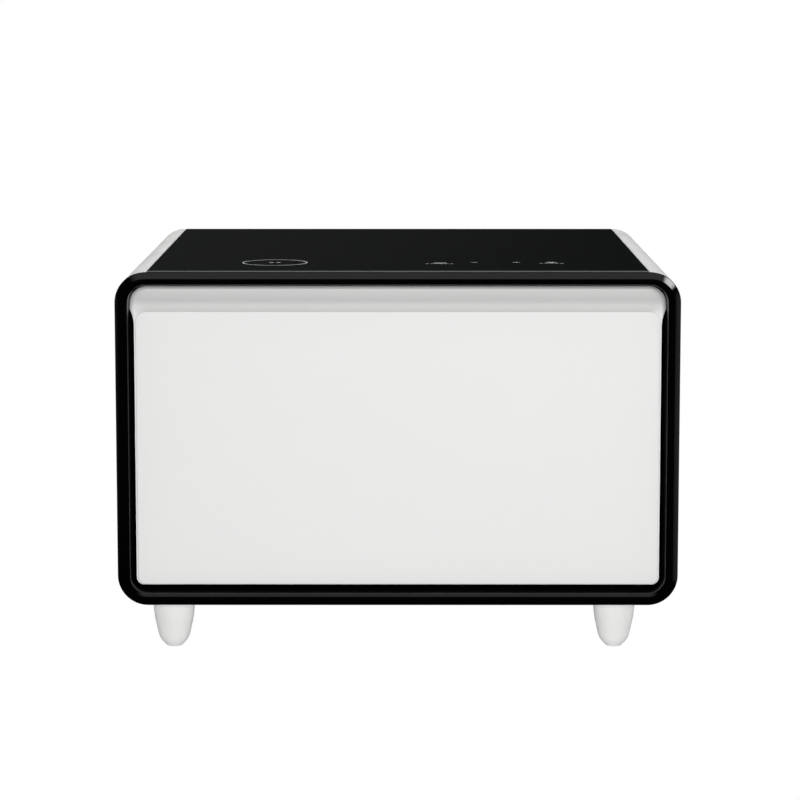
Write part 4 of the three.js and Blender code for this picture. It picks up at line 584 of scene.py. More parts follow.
def cut_foam():
    """Rigid polyurethane foam: straw yellow, matt, with small closed cells, their hollows painted
    darker as painted shade.
    """
    finish, tree = new_finish("rigid_polyurethane_foam")
    place = add(tree, "ShaderNodeTexCoord").outputs["Object"]
    cell_width, cell_depth = 1.6 * MM, 0.4 * MM
    cells = add(tree, "ShaderNodeTexVoronoi", {"Vector": place, "Scale": 1 / cell_width})
    # Painted shade: the colour darkens towards each cell's middle, where the bump sinks into a pit.
    shade = add(
        tree,
        "ShaderNodeMix",
        {"Factor": cells.outputs["Distance"], "A": linear("#d9c78e"), "B": linear("#efe2b4")},
        data_type="RGBA",
    )
    relief = add(
        tree,
        "ShaderNodeBump",
        {"Height": cells.outputs["Distance"], "Strength": 1, "Distance": cell_depth},
    )
    surface(
        tree,
        {"Base Color": shade.outputs["Result"], "Roughness": 0.95, "Normal": relief.outputs[0]},
    )
    return finish


def solder_masked_board():
    """Glass-epoxy circuit board: green mask with paler copper tracks under it."""
    finish, tree = new_finish("solder_masked_board")
    place = add(tree, "ShaderNodeTexCoord").outputs["Object"]
    track_pitch, track_height = 8 * MM, 0.03 * MM
    tracks = add(
        tree,
        "ShaderNodeTexBrick",
        {
            "Vector": place,
            "Scale": 1 / track_pitch,
            "Mortar Size": 0.05,
            "Color1": linear("#155233"),
            "Color2": linear("#1b5f3c"),
            "Mortar": linear("#3c8a5c"),
        },
    )
    relief = add(
        tree,
        "ShaderNodeBump",
        {"Height": tracks.outputs["Fac"], "Strength": 0.5, "Distance": track_height},
    )
    surface(
        tree,
        {"Base Color": tracks.outputs[0], "Roughness": 0.35, "IOR": 1.5, "Normal": relief.outputs[0]},
    )
    return finish


galvanised_sheet = hot_dipped_zinc()
drawn_copper = drawn_metal("drawn_copper", "#d08d62", "#a8633f", (0.22, 0.36))
rolled_aluminium = drawn_metal("rolled_aluminium", "#d5d7d9", "#b9bcbf", (0.28, 0.42))
polyurethane_foam = cut_foam()
green_board = solder_masked_board()

# Cabinet

# The sheet's front edge behind the ridge, and the ledge under the glass
WRAP_FRONT = 12.3
GLASS_LEDGE = 10
GLASS_LEDGE_GAP = 0.3
LEDGE_FOLD = 1.2
LEDGE_FOLD_DROP = 0.1


def wrap_half(inset):
    """Half of the folded sheet seen from the front: ledge, fold, side and floor."""
    inner = CORNER - inset
    start = math.pi / 2 + math.asin(inset / inner)
    seat = GLASS_BOTTOM_Z - GLASS_LEDGE_GAP - inset
    points = [(GLASS_LEDGE - FLAT_HALF_WIDTH, seat), (-FLAT_HALF_WIDTH - inset, seat)]
    corners = [
        (start + (math.pi - start) * step / CORNER_STEPS, TOP_Z - CORNER)
        for step in range(CORNER_STEPS + 1)
    ]
    corners += [
        (math.pi + math.pi / 2 * step / CORNER_STEPS, BOTTOM_Z + CORNER)
        for step in range(CORNER_STEPS + 1)
    ]
    angle, z = corners[0]
    folded = angle + LEDGE_FOLD / inner
    edge = (inner - LEDGE_FOLD) * math.cos(folded)
    points.append((-FLAT_HALF_WIDTH - inset, z + inner * math.sin(angle) - LEDGE_FOLD))
    points.append((edge - FLAT_HALF_WIDTH, z + inner * math.sin(folded) - LEDGE_FOLD_DROP))
    for angle, z in corners[1:]:
        points.append((inner * math.cos(angle) - FLAT_HALF_WIDTH, z + inner * math.sin(angle)))
    return points


def wrap_sheet():
    """The enamelled sheet folded round the cabinet, open above for the glass."""
    outside = wrap_half(0)
    inside = wrap_half(SHEET)
    section = outside + [(-x, z) for x, z in reversed(outside)]
    section += [(-x, z) for x, z in inside] + list(reversed(inside))
    return prism_along_y(section, depth(WRAP_FRONT), BACK_Y)


# The middles of the legs. The left ones stand 9.4 further out than the right ones.
LEG_ROWS = {"front": -235, "rear": 235}
LEG_COLUMNS = {"left": -266.5, "right": 257.1}
LEG_PLACES = {
    f"{end}_{side}": (leg_x, leg_y)
    for end, leg_y in LEG_ROWS.items()
    for side, leg_x in LEG_COLUMNS.items()
}
# Holes for the legs' studs, through the floor of the sheet
STUD_HOLE_RADIUS = 4.5
STUD_HOLE_BOTTOM, STUD_HOLE_TOP = 60, 72
STUD_HOLE_SIDES = 24

stud_hole = [
    (0, STUD_HOLE_BOTTOM),
    (STUD_HOLE_RADIUS, STUD_HOLE_BOTTOM),
    (STUD_HOLE_RADIUS, STUD_HOLE_TOP),
    (0, STUD_HOLE_TOP),
]
wrap = mesh_object("wrap_sheet", wrap_sheet())
stud_holes = [turned(stud_hole, STUD_HOLE_SIDES, (x, y, 0)) for x, y in LEG_PLACES.values()]
cut_out(wrap, together(*stud_holes))
soften(wrap, width=0.4)
settle(wrap, [enamelled_steel], stands_for="cabinet_wrap")

# Bezel: insets from the cabinet's outline, and depths behind the ridge
BEZEL_BACK = 12
TUNNEL_OUTSIDE, TUNNEL_INSIDE = 12.5, 15
TUNNEL_FLANGE = 24.5
TUNNEL_FLANGE_FRONT, TUNNEL_END = 77.8, 79.7
# Each corner of the section: inset, depth and the radius of its rounding
BEZEL_SECTION = [
    (0, BEZEL_BACK, 0.3),
    (0, 9.2, 0.5),
    (0.55, 7.4, 0.5),
    (7, 0, 0.8),
    (11.3, 0, 0.6),
    (TUNNEL_INSIDE, 3.5, 0.8),
    (TUNNEL_INSIDE, TUNNEL_FLANGE_FRONT, 0.3),
    (TUNNEL_FLANGE, TUNNEL_FLANGE_FRONT, 0.5),
    (TUNNEL_FLANGE, TUNNEL_END, 0.5),
    (TUNNEL_OUTSIDE, TUNNEL_END, 0.4),
    (TUNNEL_OUTSIDE, BEZEL_BACK, 0.3),
]
BEZEL_ROUND_STEPS = 5
BEZEL_CORNER_STEPS = 18
# The black strip in front of the glass
STRIP_FRONT, STRIP_BACK = 8.6, 27.6
STRIP_TOP_Z = TOP_Z - 1.1
# Deeper than this and lower than this, the moulding is satin
SATIN_DEPTH = 12.5
SATIN_TOP_Z = TOP_Z - 4


def bezel_moulding():
    """The frame of slopes, ridge, tunnel and flange, with the strip in front of the glass."""
    corners = [(inset, distance) for inset, distance, _ in BEZEL_SECTION]
    radii = [radius for _, _, radius in BEZEL_SECTION]
    profile = rounded(corners, radii, BEZEL_ROUND_STEPS)
    ring = swept(profile, lambda inset: body_outline(inset, BEZEL_CORNER_STEPS))
    strip = block(
        -GLASS_HALF_WIDTH,
        GLASS_HALF_WIDTH,
        depth(STRIP_FRONT),
        depth(STRIP_BACK),
        GLASS_BOTTOM_Z,
        STRIP_TOP_Z,
    )
    return together(ring, strip)


bezel = mesh_object("bezel_moulding", bezel_moulding(), sharp_degrees=30)
settle(bezel, [glossy_black_abs, satin_black_abs], stands_for="front_bezel")
for polygon in bezel.data.polygons:
    tunnel_depth = polygon.center.y / MM - FRONT_Y
    if tunnel_depth > SATIN_DEPTH and polygon.center.z < SATIN_TOP_Z * MM:
        polygon.material_index = 1

# A face of the pane counts as its ground edge where its normal's Z is smaller than this
LEVEL = 0.9


def glass_pane():
    """The pane, with a small lower edge and a ground upper edge."""

    def ring(inset, z):
        """The pane's outline at one height, drawn in by an inset."""
        right = GLASS_HALF_WIDTH - inset
        front, back = GLASS_FRONT_Y + inset, BACK_Y - inset
        return [(-right, front, z), (right, front, z), (right, back, z), (-right, back, z)]

    return loft(
        [
            ring(GLASS_LOWER_EDGE, GLASS_BOTTOM_Z),
            ring(0, GLASS_BOTTOM_Z + GLASS_LOWER_EDGE),
            ring(0, GLASS_TOP_Z - GROUND_EDGE),
            ring(GROUND_EDGE, GLASS_TOP_Z),
        ]
    )


glass = mesh_object("glass_pane", glass_pane(), sharp_degrees=20)
settle(glass, [black_backed_glass, ground_glass_edge], stands_for="glass_top")
for polygon in glass.data.polygons:
    if abs(polygon.normal.z) < LEVEL:
        polygon.material_index = 1

# Printed marks, placed in X and in depth behind the ridge
MARK_LINE = 0.9
CHARGING_RING_X, CHARGING_RING_DEPTH = -146, 138
CHARGING_RING_RADIUS = 38
COIL_OFFSET, COIL_RADIUS = 4, 2.2
LAMP_X, LAMP_DEPTH = 50, 130
LAMP_RADIUS = 7
STAR_X, STAR_DEPTH = 182, 140
STAR_REACH = 7
# Bars: left, right, front and back
LAMP_BARS = [(42, 58, 129.2, 130), (48, 52, 126.4, 127.4)]
MINUS_BARS = [(86.4, 94.7, 140.5, 141.5)]
PLUS_BARS = [(136.6, 145, 140.5, 141.5), (140.3, 141.3, 136.8, 145.2)]
# Rows of dashes: first left end, count, pitch, length, front and back
LAMP_DASHES = (32.7, 6, 5.9, 3.7, 121.5, 122.5)
STAR_DASHES = (167.6, 5, 6.1, 4, 127.2, 128.2)


def flat_ring(centre_x, centre_y, radius, width, sides=96):
    """A printed ring, as thick as its ink."""
    profile = [
        (radius - width / 2, GLASS_TOP_Z),
        (radius + width / 2, GLASS_TOP_Z),
        (radius + width / 2, TOP_Z),
        (radius - width / 2, TOP_Z),
        (radius - width / 2, GLASS_TOP_Z),
    ]
    return turned(profile, sides, (centre_x, centre_y, 0))


def printed_bar(left, right, front, back):
    """A printed bar, its front and back measured behind the ridge."""
    return block(left, right, depth(front), depth(back), GLASS_TOP_Z, TOP_Z)


def printed_dashes(first, count, pitch, length, front, back):
    """A row of printed dashes."""
    lefts = [first + index * pitch for index in range(count)]
    return [printed_bar(left, left + length, front, back) for left in lefts]


def printed_arc(centre_x, centre_y, radius, width, start, end, steps=16):
    """Part of a printed ring, between two angles in degrees."""
    inner, outer = [], []
    for step in range(steps + 1):
        angle = math.radians(start + (end - start) * step / steps)
        for path, reach in ((inner, radius - width / 2), (outer, radius + width / 2)):
            path.append((centre_x + reach * math.cos(angle), centre_y + reach * math.sin(angle)))
    outline = outer + inner[::-1]
    return loft([[(x, y, z) for x, y in outline] for z in (GLASS_TOP_Z, TOP_Z)])


def printed_marks():
    """The charging ring, the lamp sign, minus and plus, and the snow star."""
    ring_y = depth(CHARGING_RING_DEPTH)
    shapes = [flat_ring(CHARGING_RING_X, ring_y, CHARGING_RING_RADIUS, MARK_LINE)]
    # A small sign of a charging coil in the middle of the ring
    for offset in (-COIL_OFFSET, COIL_OFFSET):
        coil_x = CHARGING_RING_X + offset
        shapes.append(printed_arc(coil_x, ring_y, COIL_RADIUS, MARK_LINE, 0, 360, 24))
    # The left sign is a lamp dome over dashes
    shapes += printed_dashes(*LAMP_DASHES)
    shapes.append(printed_arc(LAMP_X, depth(LAMP_DEPTH), LAMP_RADIUS, MARK_LINE, 0, 180))
    shapes += [printed_bar(*bar) for bar in LAMP_BARS + MINUS_BARS + PLUS_BARS]
    # The right sign is a snow star over dashes
    shapes += printed_dashes(*STAR_DASHES)
    middle = Vector((STAR_X, depth(STAR_DEPTH)))
    for turn in (0, 60, 120):
        angle = math.radians(turn)
        along = Vector((math.cos(angle), math.sin(angle)))
        beside = Vector((-along.y, along.x)) * (MARK_LINE / 2)
        reach = along * STAR_REACH
        outline = [
            middle - reach - beside,
            middle + reach - beside,
            middle + reach + beside,
            middle - reach + beside,
        ]
        shapes.append(loft([[(p.x, p.y, z) for p in outline] for z in (GLASS_TOP_Z, TOP_Z)]))
    return together(*shapes)


marks = mesh_object("printed_marks", printed_marks())
settle(marks, [printed_marks_ink])

# Legs, as (radius, height) points: the foot, the side as measured, the shoulder and the stud
LEG_FOOT = [(0, 0), (7.6, 0), (8.6, 0.3)]
LEG_SIDE = [
    (9, 0.5),
    (13.5, 5.2),
    (16.3, 8.9),
    (17.9, 12.5),
    (19.0, 16.0),
    (20.6, 23.3),
    (22.9, 34.2),
    (24.2, 45.1),
    (25.0, 55.8),
    (25.4, 62.5),
    (25.5, 65.2),
]
LEG_SHOULDER = [(25.5, 65.2), (25.2, 65.7), (4, 65.7)]
LEG_SIDE_STEPS = 6
LEG_FACETS = 72
THREAD_PITCH = 1.25
THREAD_CREST, THREAD_ROOT = 3.98, 3.6
THREAD_FOOT, THREAD_HEAD = 66, 86
STUD_TIP = [(3.6, 87.2), (3.2, 87.7), (0, 87.7)]


def leg_turning(x, y):
    """A bullet leg: its outline is smoothed between the measured places."""
    profile = list(LEG_FOOT)
    side = [Vector(point) for point in LEG_SIDE]
    for index in range(len(side) - 1):
        before = side[max(index - 1, 0)]
        here, there = side[index], side[index + 1]
        after = side[min(index + 2, len(side) - 1)]
        for step in range(LEG_SIDE_STEPS):
            t = step / LEG_SIDE_STEPS
            spot = 0.5 * (
                2 * here
                + (there - before) * t
                + (2 * before - 5 * here + 4 * there - after) * t * t
                + (3 * here - before - 3 * there + after) * t**3
            )
            profile.append((spot.x, spot.y))
    profile += LEG_SHOULDER
    height = THREAD_FOOT
    while height < THREAD_HEAD:
        profile += [(THREAD_CREST, height), (THREAD_ROOT, height + THREAD_PITCH / 2)]
        height += THREAD_PITCH
    profile += STUD_TIP
    return turned(profile, LEG_FACETS, (x, y, 0))


for spot, (leg_x, leg_y) in LEG_PLACES.items():
    leg = mesh_object("leg_turning_" + spot, leg_turning(leg_x, leg_y), sharp_degrees=40)
    settle(leg, [moulded_leg_nylon], stands_for="leg_" + spot)

# Drawer front

# Depths behind the bezel's ridge
PANEL_FACE = 18
LEDGE_FACE = 19.6
WALL_FACE = 38
RIM_BACK, RIM_INSIDE = 52, 47
# Panel: half width, heights, corners, and the rounding of its edge
PANEL_HALF_WIDTH = 301.1
PANEL_BOTTOM, LIP_TOP = 89.7, 406.7
PANEL_LOWER_CORNER, PANEL_UPPER_CORNER = 7.3, 11.2
PANEL_ROUND = 1.3
PANEL_ROUND_STEPS = 5
# How far the panel's foot stands in from the ledge's start, and short of the ledge
PANEL_FOOT_INSET, PANEL_FOOT_SHORT = 0.02, 0.1
# Wall behind the scoop
WALL_HALF_WIDTH = 303.8
WALL_BOTTOM, WALL_TOP = 88.35, 432
WALL_LOWER_CORNER, WALL_CORNER = 8.5, 14
# Scoop: its foot at the sides, how far it reaches in under the lip, and the angles of its cove
SCOOP_FOOT = 390
LIP_TUCK = 0.6
COVE_FOOT, COVE_HEAD = math.radians(42), math.radians(74)
SCOOP_STEPS = 18
# At the sides the scoop starts more softly, from this height and with this power of the rise
SOFT_FOOT = 398
SOFT_POWER = 1.5
# The edge curls back. Its reach grows from this height on, over this rise.
CURL_FOOT, CURL_RISE = 391, 19
# The least reach, what it grows by, and what it grows by besides at the sides
CURL_LEAST = 0.1
CURL_REACH, CURL_REACH_AT_SIDE = 2.9, 2.7
# The curl's first and last angle in degrees at the sides, and what the top has more
CURL_FIRST, CURL_FIRST_AT_TOP = 10, 36
CURL_LAST, CURL_LAST_AT_TOP = 58, 6
CURL_STEPS = 7
# The rim behind the curl
RIM_INSETS = (1.5, 4)


def drawer_loop(half_width, bottom, top, lower_radius, upper_radius):
    """A closed loop on the drawer's front: places and outward directions."""
    corner_steps, flank_steps = 12, 22
    flank_top = top - upper_radius
    column = []
    for step in range(corner_steps + 1):
        angle = -math.pi / 2 * (1 - step / corner_steps)
        out = Vector((math.cos(angle), math.sin(angle)))
        inner = Vector((half_width - lower_radius, bottom + lower_radius))
        column.append((inner + out * lower_radius, out))
    for step in range(flank_steps + 1):
        share = step / flank_steps
        place = Vector((half_width, SCOOP_FOOT + (flank_top - SCOOP_FOOT) * share))
        column.append((place, Vector((1, 0))))
    for step in range(1, corner_steps + 1):
        angle = math.pi / 2 * step / corner_steps
        out = Vector((math.cos(angle), math.sin(angle)))
        inner = Vector((half_width - upper_radius, top - upper_radius))
        column.append((inner + out * upper_radius, out))
    return column + [(Vector((-p.x, p.y)), Vector((-n.x, n.y))) for p, n in column[::-1]]


def scoop_depth(z, out):
    """How deep the front lies at a height: the ledge, then a scoop, softer at the sides."""
    foot = LIP_TOP + PANEL_ROUND - LIP_TUCK
    rise = min(max((z - foot) / (WALL_TOP - foot), 0), 1)
    turn = math.acos(math.cos(COVE_FOOT) * (1 - rise) + math.cos(COVE_HEAD) * rise)
    sink = (math.sin(turn) - math.sin(COVE_FOOT)) / (math.sin(COVE_HEAD) - math.sin(COVE_FOOT))
    soft_sink = min(max((z - SOFT_FOOT) / (WALL_TOP - SOFT_FOOT), 0), 1) ** SOFT_POWER
    return LEDGE_FACE + (WALL_FACE - LEDGE_FACE) * (sink + (soft_sink - sink) * out.x**2)


def drawer_face():
    """The drawer's moulded face: panel, ledge, scoop, wall and rim.

    Rings of points run from the panel's face outwards, from the panel's loop to the wall's.
    Each ring asks for a place and a depth at every point, and gives the panel's edge, the same
    place on the wall's loop and the outward direction.
    """
    panel = drawer_loop(
        PANEL_HALF_WIDTH, PANEL_BOTTOM, LIP_TOP, PANEL_LOWER_CORNER, PANEL_UPPER_CORNER
    )
    wall = drawer_loop(WALL_HALF_WIDTH, WALL_BOTTOM, WALL_TOP, WALL_LOWER_CORNER, WALL_CORNER)
    rings = []

    def ring(place_of):
        """Adds a ring whose points lie where the given rule puts them."""
        points = []
        for (panel_place, out), (wall_place, _) in zip(panel, wall):
            (x, z), distance = place_of(panel_place + out * PANEL_ROUND, wall_place, out)
            points.append((x, depth(distance), z))
        rings.append(points)

    for step in range(PANEL_ROUND_STEPS + 1):
        turn = math.pi / 2 * step / PANEL_ROUND_STEPS
        ring(
            lambda edge, far, out: (
                edge - out * PANEL_ROUND * (1 - math.sin(turn)),
                PANEL_FACE + PANEL_ROUND * (1 - math.cos(turn)),
            )
        )
    ring(lambda edge, far, out: (edge - out * PANEL_FOOT_INSET, LEDGE_FACE - PANEL_FOOT_SHORT))

    def scooped(edge, far, out, step):
        """A place on the ledge and the scoop, between the panel's edge and the wall."""
        turn = COVE_FOOT + (COVE_HEAD - COVE_FOOT) * step / SCOOP_STEPS
        rise = (math.cos(COVE_FOOT) - math.cos(turn)) / (math.cos(COVE_FOOT) - math.cos(COVE_HEAD))
        place = (edge - out * LIP_TUCK * max(out.y, 0)).lerp(far, rise)
        return place, scoop_depth(place.y, out)

    for step in range(SCOOP_STEPS + 1):
        ring(lambda edge, far, out: scooped(edge, far, out, step))

    def curled(far, out, step):
        """The edge curls back: gently at the sides, and after a crease along the top."""
        grown = min(max((far.y - CURL_FOOT) / CURL_RISE, 0), 1) ** 2
        reach = CURL_LEAST + (CURL_REACH + CURL_REACH_AT_SIDE * out.x**2) * grown
        first = math.radians(CURL_FIRST + CURL_FIRST_AT_TOP * out.y**2)
        last = math.radians(CURL_LAST + CURL_LAST_AT_TOP * out.y**2)
        turn = first + (last - first) * step / CURL_STEPS
        whole = math.sin(last) - math.sin(first)
        across = (math.sin(turn) - math.sin(first)) / whole
        inwards = (math.cos(first) - math.cos(turn)) / whole
        return far + out * reach * across, scoop_depth(far.y, out) + reach * inwards

    for step in range(1, CURL_STEPS + 1):
        ring(lambda edge, far, out: curled(far, out, step))
    outer, inner = RIM_INSETS
    for less, distance in ((outer, RIM_BACK), (inner, RIM_BACK), (inner, RIM_INSIDE)):
        ring(lambda edge, far, out: (curled(far, out, CURL_STEPS)[0] - out * less, distance))
    return loft(rings)


face = mesh_object("drawer_face", drawer_face(), sharp_degrees=24)
settle(face, [moulded_white_abs], "drawer", "drawer_front")

# Each ring of the drawer's back shell: inset from the drawer's outline, and depth
LINER_RINGS = [(7.5, 68.3), (7.5, 52.3), (5.5, 52.3), (5.5, 69), (6.5, 70)]
DRAWER_FOAM_INSET = 8
DRAWER_FOAM_CORNER_STEPS = 6
DRAWER_FOAM_FRONT, DRAWER_FOAM_BACK = 48, 68


def liner_pan():
    """The drawer's back shell: a pan whose rim points at the face."""
    return loft([upright(drawer_outline(inset), depth(distance)) for inset, distance in LINER_RINGS])


liner = mesh_object("drawer_back_pan", liner_pan())
settle(liner, [formed_liner], "drawer", "drawer_back_liner")

foam_outline = drawer_outline(DRAWER_FOAM_INSET, DRAWER_FOAM_CORNER_STEPS)
foam = mesh_object(
    "drawer_foam_fill",
    prism_along_y(foam_outline, depth(DRAWER_FOAM_FRONT), depth(DRAWER_FOAM_BACK)),
)
settle(foam, [polyurethane_foam], "drawer", "drawer_foam")

# Back

BACK_SHEET_INSET = 1.8
BACK_SHEET_FRONT, BACK_SHEET_BACK = 327, 328.2
# The flange behind the sheet's edge: its inner inset, and its depths behind the ridge
FLANGE_INSIDE = 3
FLANGE_FRONT, FLANGE_BACK = 645, 657.1
# Cutting shapes run from before the sheet to behind it
CUT_FRONT, CUT_BACK = 320, 340
# Room for the glass and its seat: left, right, front, back, bottom and top
GLASS_SEAT = (-291.8, 291.8, 300, 340, 446.4, 470)
# Two banks of air slots, by the middle of each bank
BANK_PLACES = (-195, 195)
SLOTS_IN_BANK = 8
FIRST_SLOT_Z, SLOT_PITCH = 136, 16
SLOT_HALF_WIDTH, SLOT_HEIGHT, SLOT_ROUND = 30, 6, 2.9
# Power inlet: its middle, and its hole's half width, half height and corner radius
INLET_X, INLET_Z = -265, 118
INLET_HOLE = (14.3, 10.3, 1.5)
# Each ring of the inlet's moulding: half width, half height, corner radius and Y
INLET_RINGS = [
    (13.7, 9.7, 1.2, 308.5),
    (14, 10, 1.5, 308.8),
    (14, 10, 1.5, 328.5),
    (17, 13, 2, 328.5),
    (17, 13, 2, 329.5),
    (16.6, 12.6, 1.8, 329.9),
    (12.6, 8.6, 1.6, 329.9),
    (12, 8, 1.2, 329.3),
    (12, 8, 1.2, 313.9),
]
# The middle of each contact in X and Z, and the contacts' sizes
CONTACT_PLACES = ((-272, 120), (-265, 118), (-258, 120))
CONTACT_HALF_WIDTH, CONTACT_HALF_HEIGHT = 1, 2
CONTACT_FRONT, CONTACT_BACK = 313, 325.9


def slot_outline(left, right, bottom, top, radius, steps=5):
    """A rounded rectangle of (x, z) points."""
    corners = [(right, bottom), (right, top), (left, top), (left, bottom)]
    return rounded(corners, [radius] * 4, steps)


def inlet_outline(half_width, half_height, radius):
    """A rounded rectangle round the middle of the power inlet."""
    left, right = INLET_X - half_width, INLET_X + half_width
    return slot_outline(left, right, INLET_Z - half_height, INLET_Z + half_height, radius)


back = mesh_object(
    "back_sheet", prism_along_y(body_outline(BACK_SHEET_INSET), BACK_SHEET_FRONT, BACK_SHEET_BACK)
)
cutters = [block(*GLASS_SEAT), prism_along_y(inlet_outline(*INLET_HOLE), CUT_FRONT, CUT_BACK)]
for bank_x in BANK_PLACES:
    for index in range(SLOTS_IN_BANK):
        slot_z = FIRST_SLOT_Z + SLOT_PITCH * index
        left, right = bank_x - SLOT_HALF_WIDTH, bank_x + SLOT_HALF_WIDTH
        outline = slot_outline(left, right, slot_z, slot_z + SLOT_HEIGHT, SLOT_ROUND)
        cutters.append(prism_along_y(outline, CUT_FRONT, CUT_BACK))
cut_out(back, together(*cutters))
soften(back, width=0.3, segments=2)
settle(back, [enamelled_steel], stands_for="back_panel")

flange_section = [
    (BACK_SHEET_INSET, FLANGE_FRONT),
    (FLANGE_INSIDE, FLANGE_FRONT),
    (FLANGE_INSIDE, FLANGE_BACK),
    (BACK_SHEET_INSET, FLANGE_BACK),
]
flange = mesh_object("back_flange", swept(flange_section, body_outline))
cut_out(flange, block(*GLASS_SEAT))
soften(flange, width=0.2, segments=2)
settle(flange, [enamelled_steel])


def inlet_housing():
    """The power inlet's moulding, from its inner end out to the collar and into the socket."""
    return loft([upright(inlet_outline(*ring[:3]), ring[3]) for ring in INLET_RINGS])


def inlet_contact(x, z):
    """One contact of the inlet, round its middle."""
    left, right = x - CONTACT_HALF_WIDTH, x + CONTACT_HALF_WIDTH
    bottom, top = z - CONTACT_HALF_HEIGHT, z + CONTACT_HALF_HEIGHT
    return block(left, right, CONTACT_FRONT, CONTACT_BACK, bottom, top)


housing = mesh_object("inlet_moulding", inlet_housing())
settle(housing, [moulded_black_nylon], stands_for="power_inlet")
contacts = [inlet_contact(x, z) for x, z in CONTACT_PLACES]
pins = mesh_object("inlet_contacts", together(*contacts))
soften(pins, width=0.4, segments=2)
settle(pins, [plated_contacts])

# Carried-over nodes

# Nodes that keep the frame's shape: finish, and the width of the rounding of the edges
CARRIED = {
    "inner_liner": (formed_liner, 0.8),
    "cabinet_foam": (polyurethane_foam, 0.0),
    "top_tray": (moulded_black_nylon, 0.4),
    "wireless_charger": (moulded_black_nylon, 0.4),
    "key_board": (green_board, 0.1),
    "temperature_display": (glossy_black_abs, 0.4),
    "foam_bulkhead": (galvanised_sheet, 0.3),
    "interior_lamp": (frosted_lens, 1.5),
    "evaporator_cover": (formed_liner, 0.5),
    "evaporator_coil": (rolled_aluminium, 0.0),
    "evaporator_fan_frame": (moulded_black_nylon, 0.4),
    "evaporator_fan_rotor": (moulded_white_abs, 0.2),
    "machine_base": (galvanised_sheet, 0.3),
    "compressor": (black_shell_enamel, 0.5),
    "compressor_terminal_cover": (moulded_black_nylon, 1.5),
    "drip_pan": (formed_liner, 0.4),
    "condenser_coil": (rolled_aluminium, 0.0),
    "condenser_fan_frame": (moulded_black_nylon, 0.4),
    "condenser_fan_rotor": (moulded_black_nylon, 0.2),
    "filter_drier": (drawn_copper, 0.4),
    "discharge_tube": (drawn_copper, 0.0),
    "liquid_tube": (drawn_copper, 0.0),
    "capillary_tube": (drawn_copper, 0.0),
    "suction_tube": (drawn_copper, 0.0),
    "power_supply": (galvanised_sheet, 0.8),
    "control_board": (green_board, 0.2),
    "drawer_gasket": (extruded_gasket, 0.6),
    "drawer_bin": (formed_liner, 0.5),
}
for side in ("left", "right"):
    for level in ("outer", "middle", "inner"):
        CARRIED[f"slide_{level}_{side}"] = (galvanised_sheet, 0.25)
    CARRIED[f"slide_bracket_{side}"] = (galvanised_sheet, 0.4)
for spot in LEG_PLACES:
    CARRIED["leg_plate_" + spot] = (galvanised_sheet, 0.4)
    CARRIED["compressor_grommet_" + spot] = (moulded_rubber, 0.4)

# Corners of a node's faces that lie this near to each other, in metres, are joined
WELD_REACH = 1e-5

for name, (finish, edge) in CARRIED.items():
    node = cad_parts[name]
    node.data.materials.clear()
    node.data.materials.append(finish)
    weld = node.modifiers.new("weld", "WELD")
    weld.merge_threshold = WELD_REACH
    if edge:
        soften(node, edge, segments=2, angle_degrees=40)

# Floor, light and camera

# In metres along Y: before the first the floor casts its weaker light, past the second its stronger
CAST_AHEAD_Y, CAST_BENEATH_Y = -0.42, -0.32
FLOOR_REACH = 60000


def plain_white(name, shown, cast_ahead, cast_beneath):
    """A floor that shows as white paper and throws back its own light, more of it at the legs."""
    finish, tree = new_finish(name)
    place = add(tree, "ShaderNodeTexCoord").outputs["Object"]
    cast = add(
        tree,
        "ShaderNodeMapRange",
        {
            "Value": add(tree, "ShaderNodeSeparateXYZ", {0: place}).outputs["Y"],
            "From Min": CAST_AHEAD_Y,
            "From Max": CAST_BENEATH_Y,
            "To Min": cast_ahead,
            "To Max": cast_beneath,
        },
    ).outputs[0]
    strength = add(
        tree,
        "ShaderNodeMix",
        {
            "Factor": add(tree, "ShaderNodeLightPath").outputs["Is Camera Ray"],
            "A": cast,
            "B": shown,
        },
        data_type="FLOAT",
    ).outputs["Result"]
    colour = linear("#ffffff")
    glow = add(tree, "ShaderNodeEmission", {"Color": colour, "Strength": strength})
    add(tree, "ShaderNodeOutputMaterial", {"Surface": glow.outputs[0]})
    return finish


floor_corners = [
    (-FLOOR_REACH, -FLOOR_REACH, 0),
    (FLOOR_REACH, -FLOOR_REACH, 0),
    (FLOOR_REACH, FLOOR_REACH, 0),
    (-FLOOR_REACH, FLOOR_REACH, 0),
]
floor = mesh_object("pale_floor", (floor_corners, [(0, 1, 2, 3)]))
# Matt white floor paint, lit to plain white: it shows without shade and casts a soft light back.
pale_floor_paint = plain_white("pale_floor_paint", shown=1.0, cast_ahead=0.2, cast_beneath=0.58)
floor.data.materials.append(pale_floor_paint)
floor.visible_glossy = False

# What polished surfaces see of the studio: direction, brightness, full and fading angle
STUDIO_SOFTBOXES = [
    ((0.05, 0.18, 0.98), 0.47, 22, 44),
    ((0.857, 0.515, 0), 0.27, 12, 30),
    ((-0.857, 0.515, 0), 0.17, 10, 22),
    ((0.747, 0.114, 0.656), 9.0, 1, 17),
    ((-0.35, 0.93, 0.13), 0.017, 10, 32),
]
# The brightness of all the rest that polished surfaces see
STUDIO_DIM = 0.003
# What lights all other surfaces: direction, where it begins and is full, and its brightness
STUDIO_FILL = [("Z", 0.75, 0.97, 1.2), ("Y", -0.1, 0.25, 1.9)]


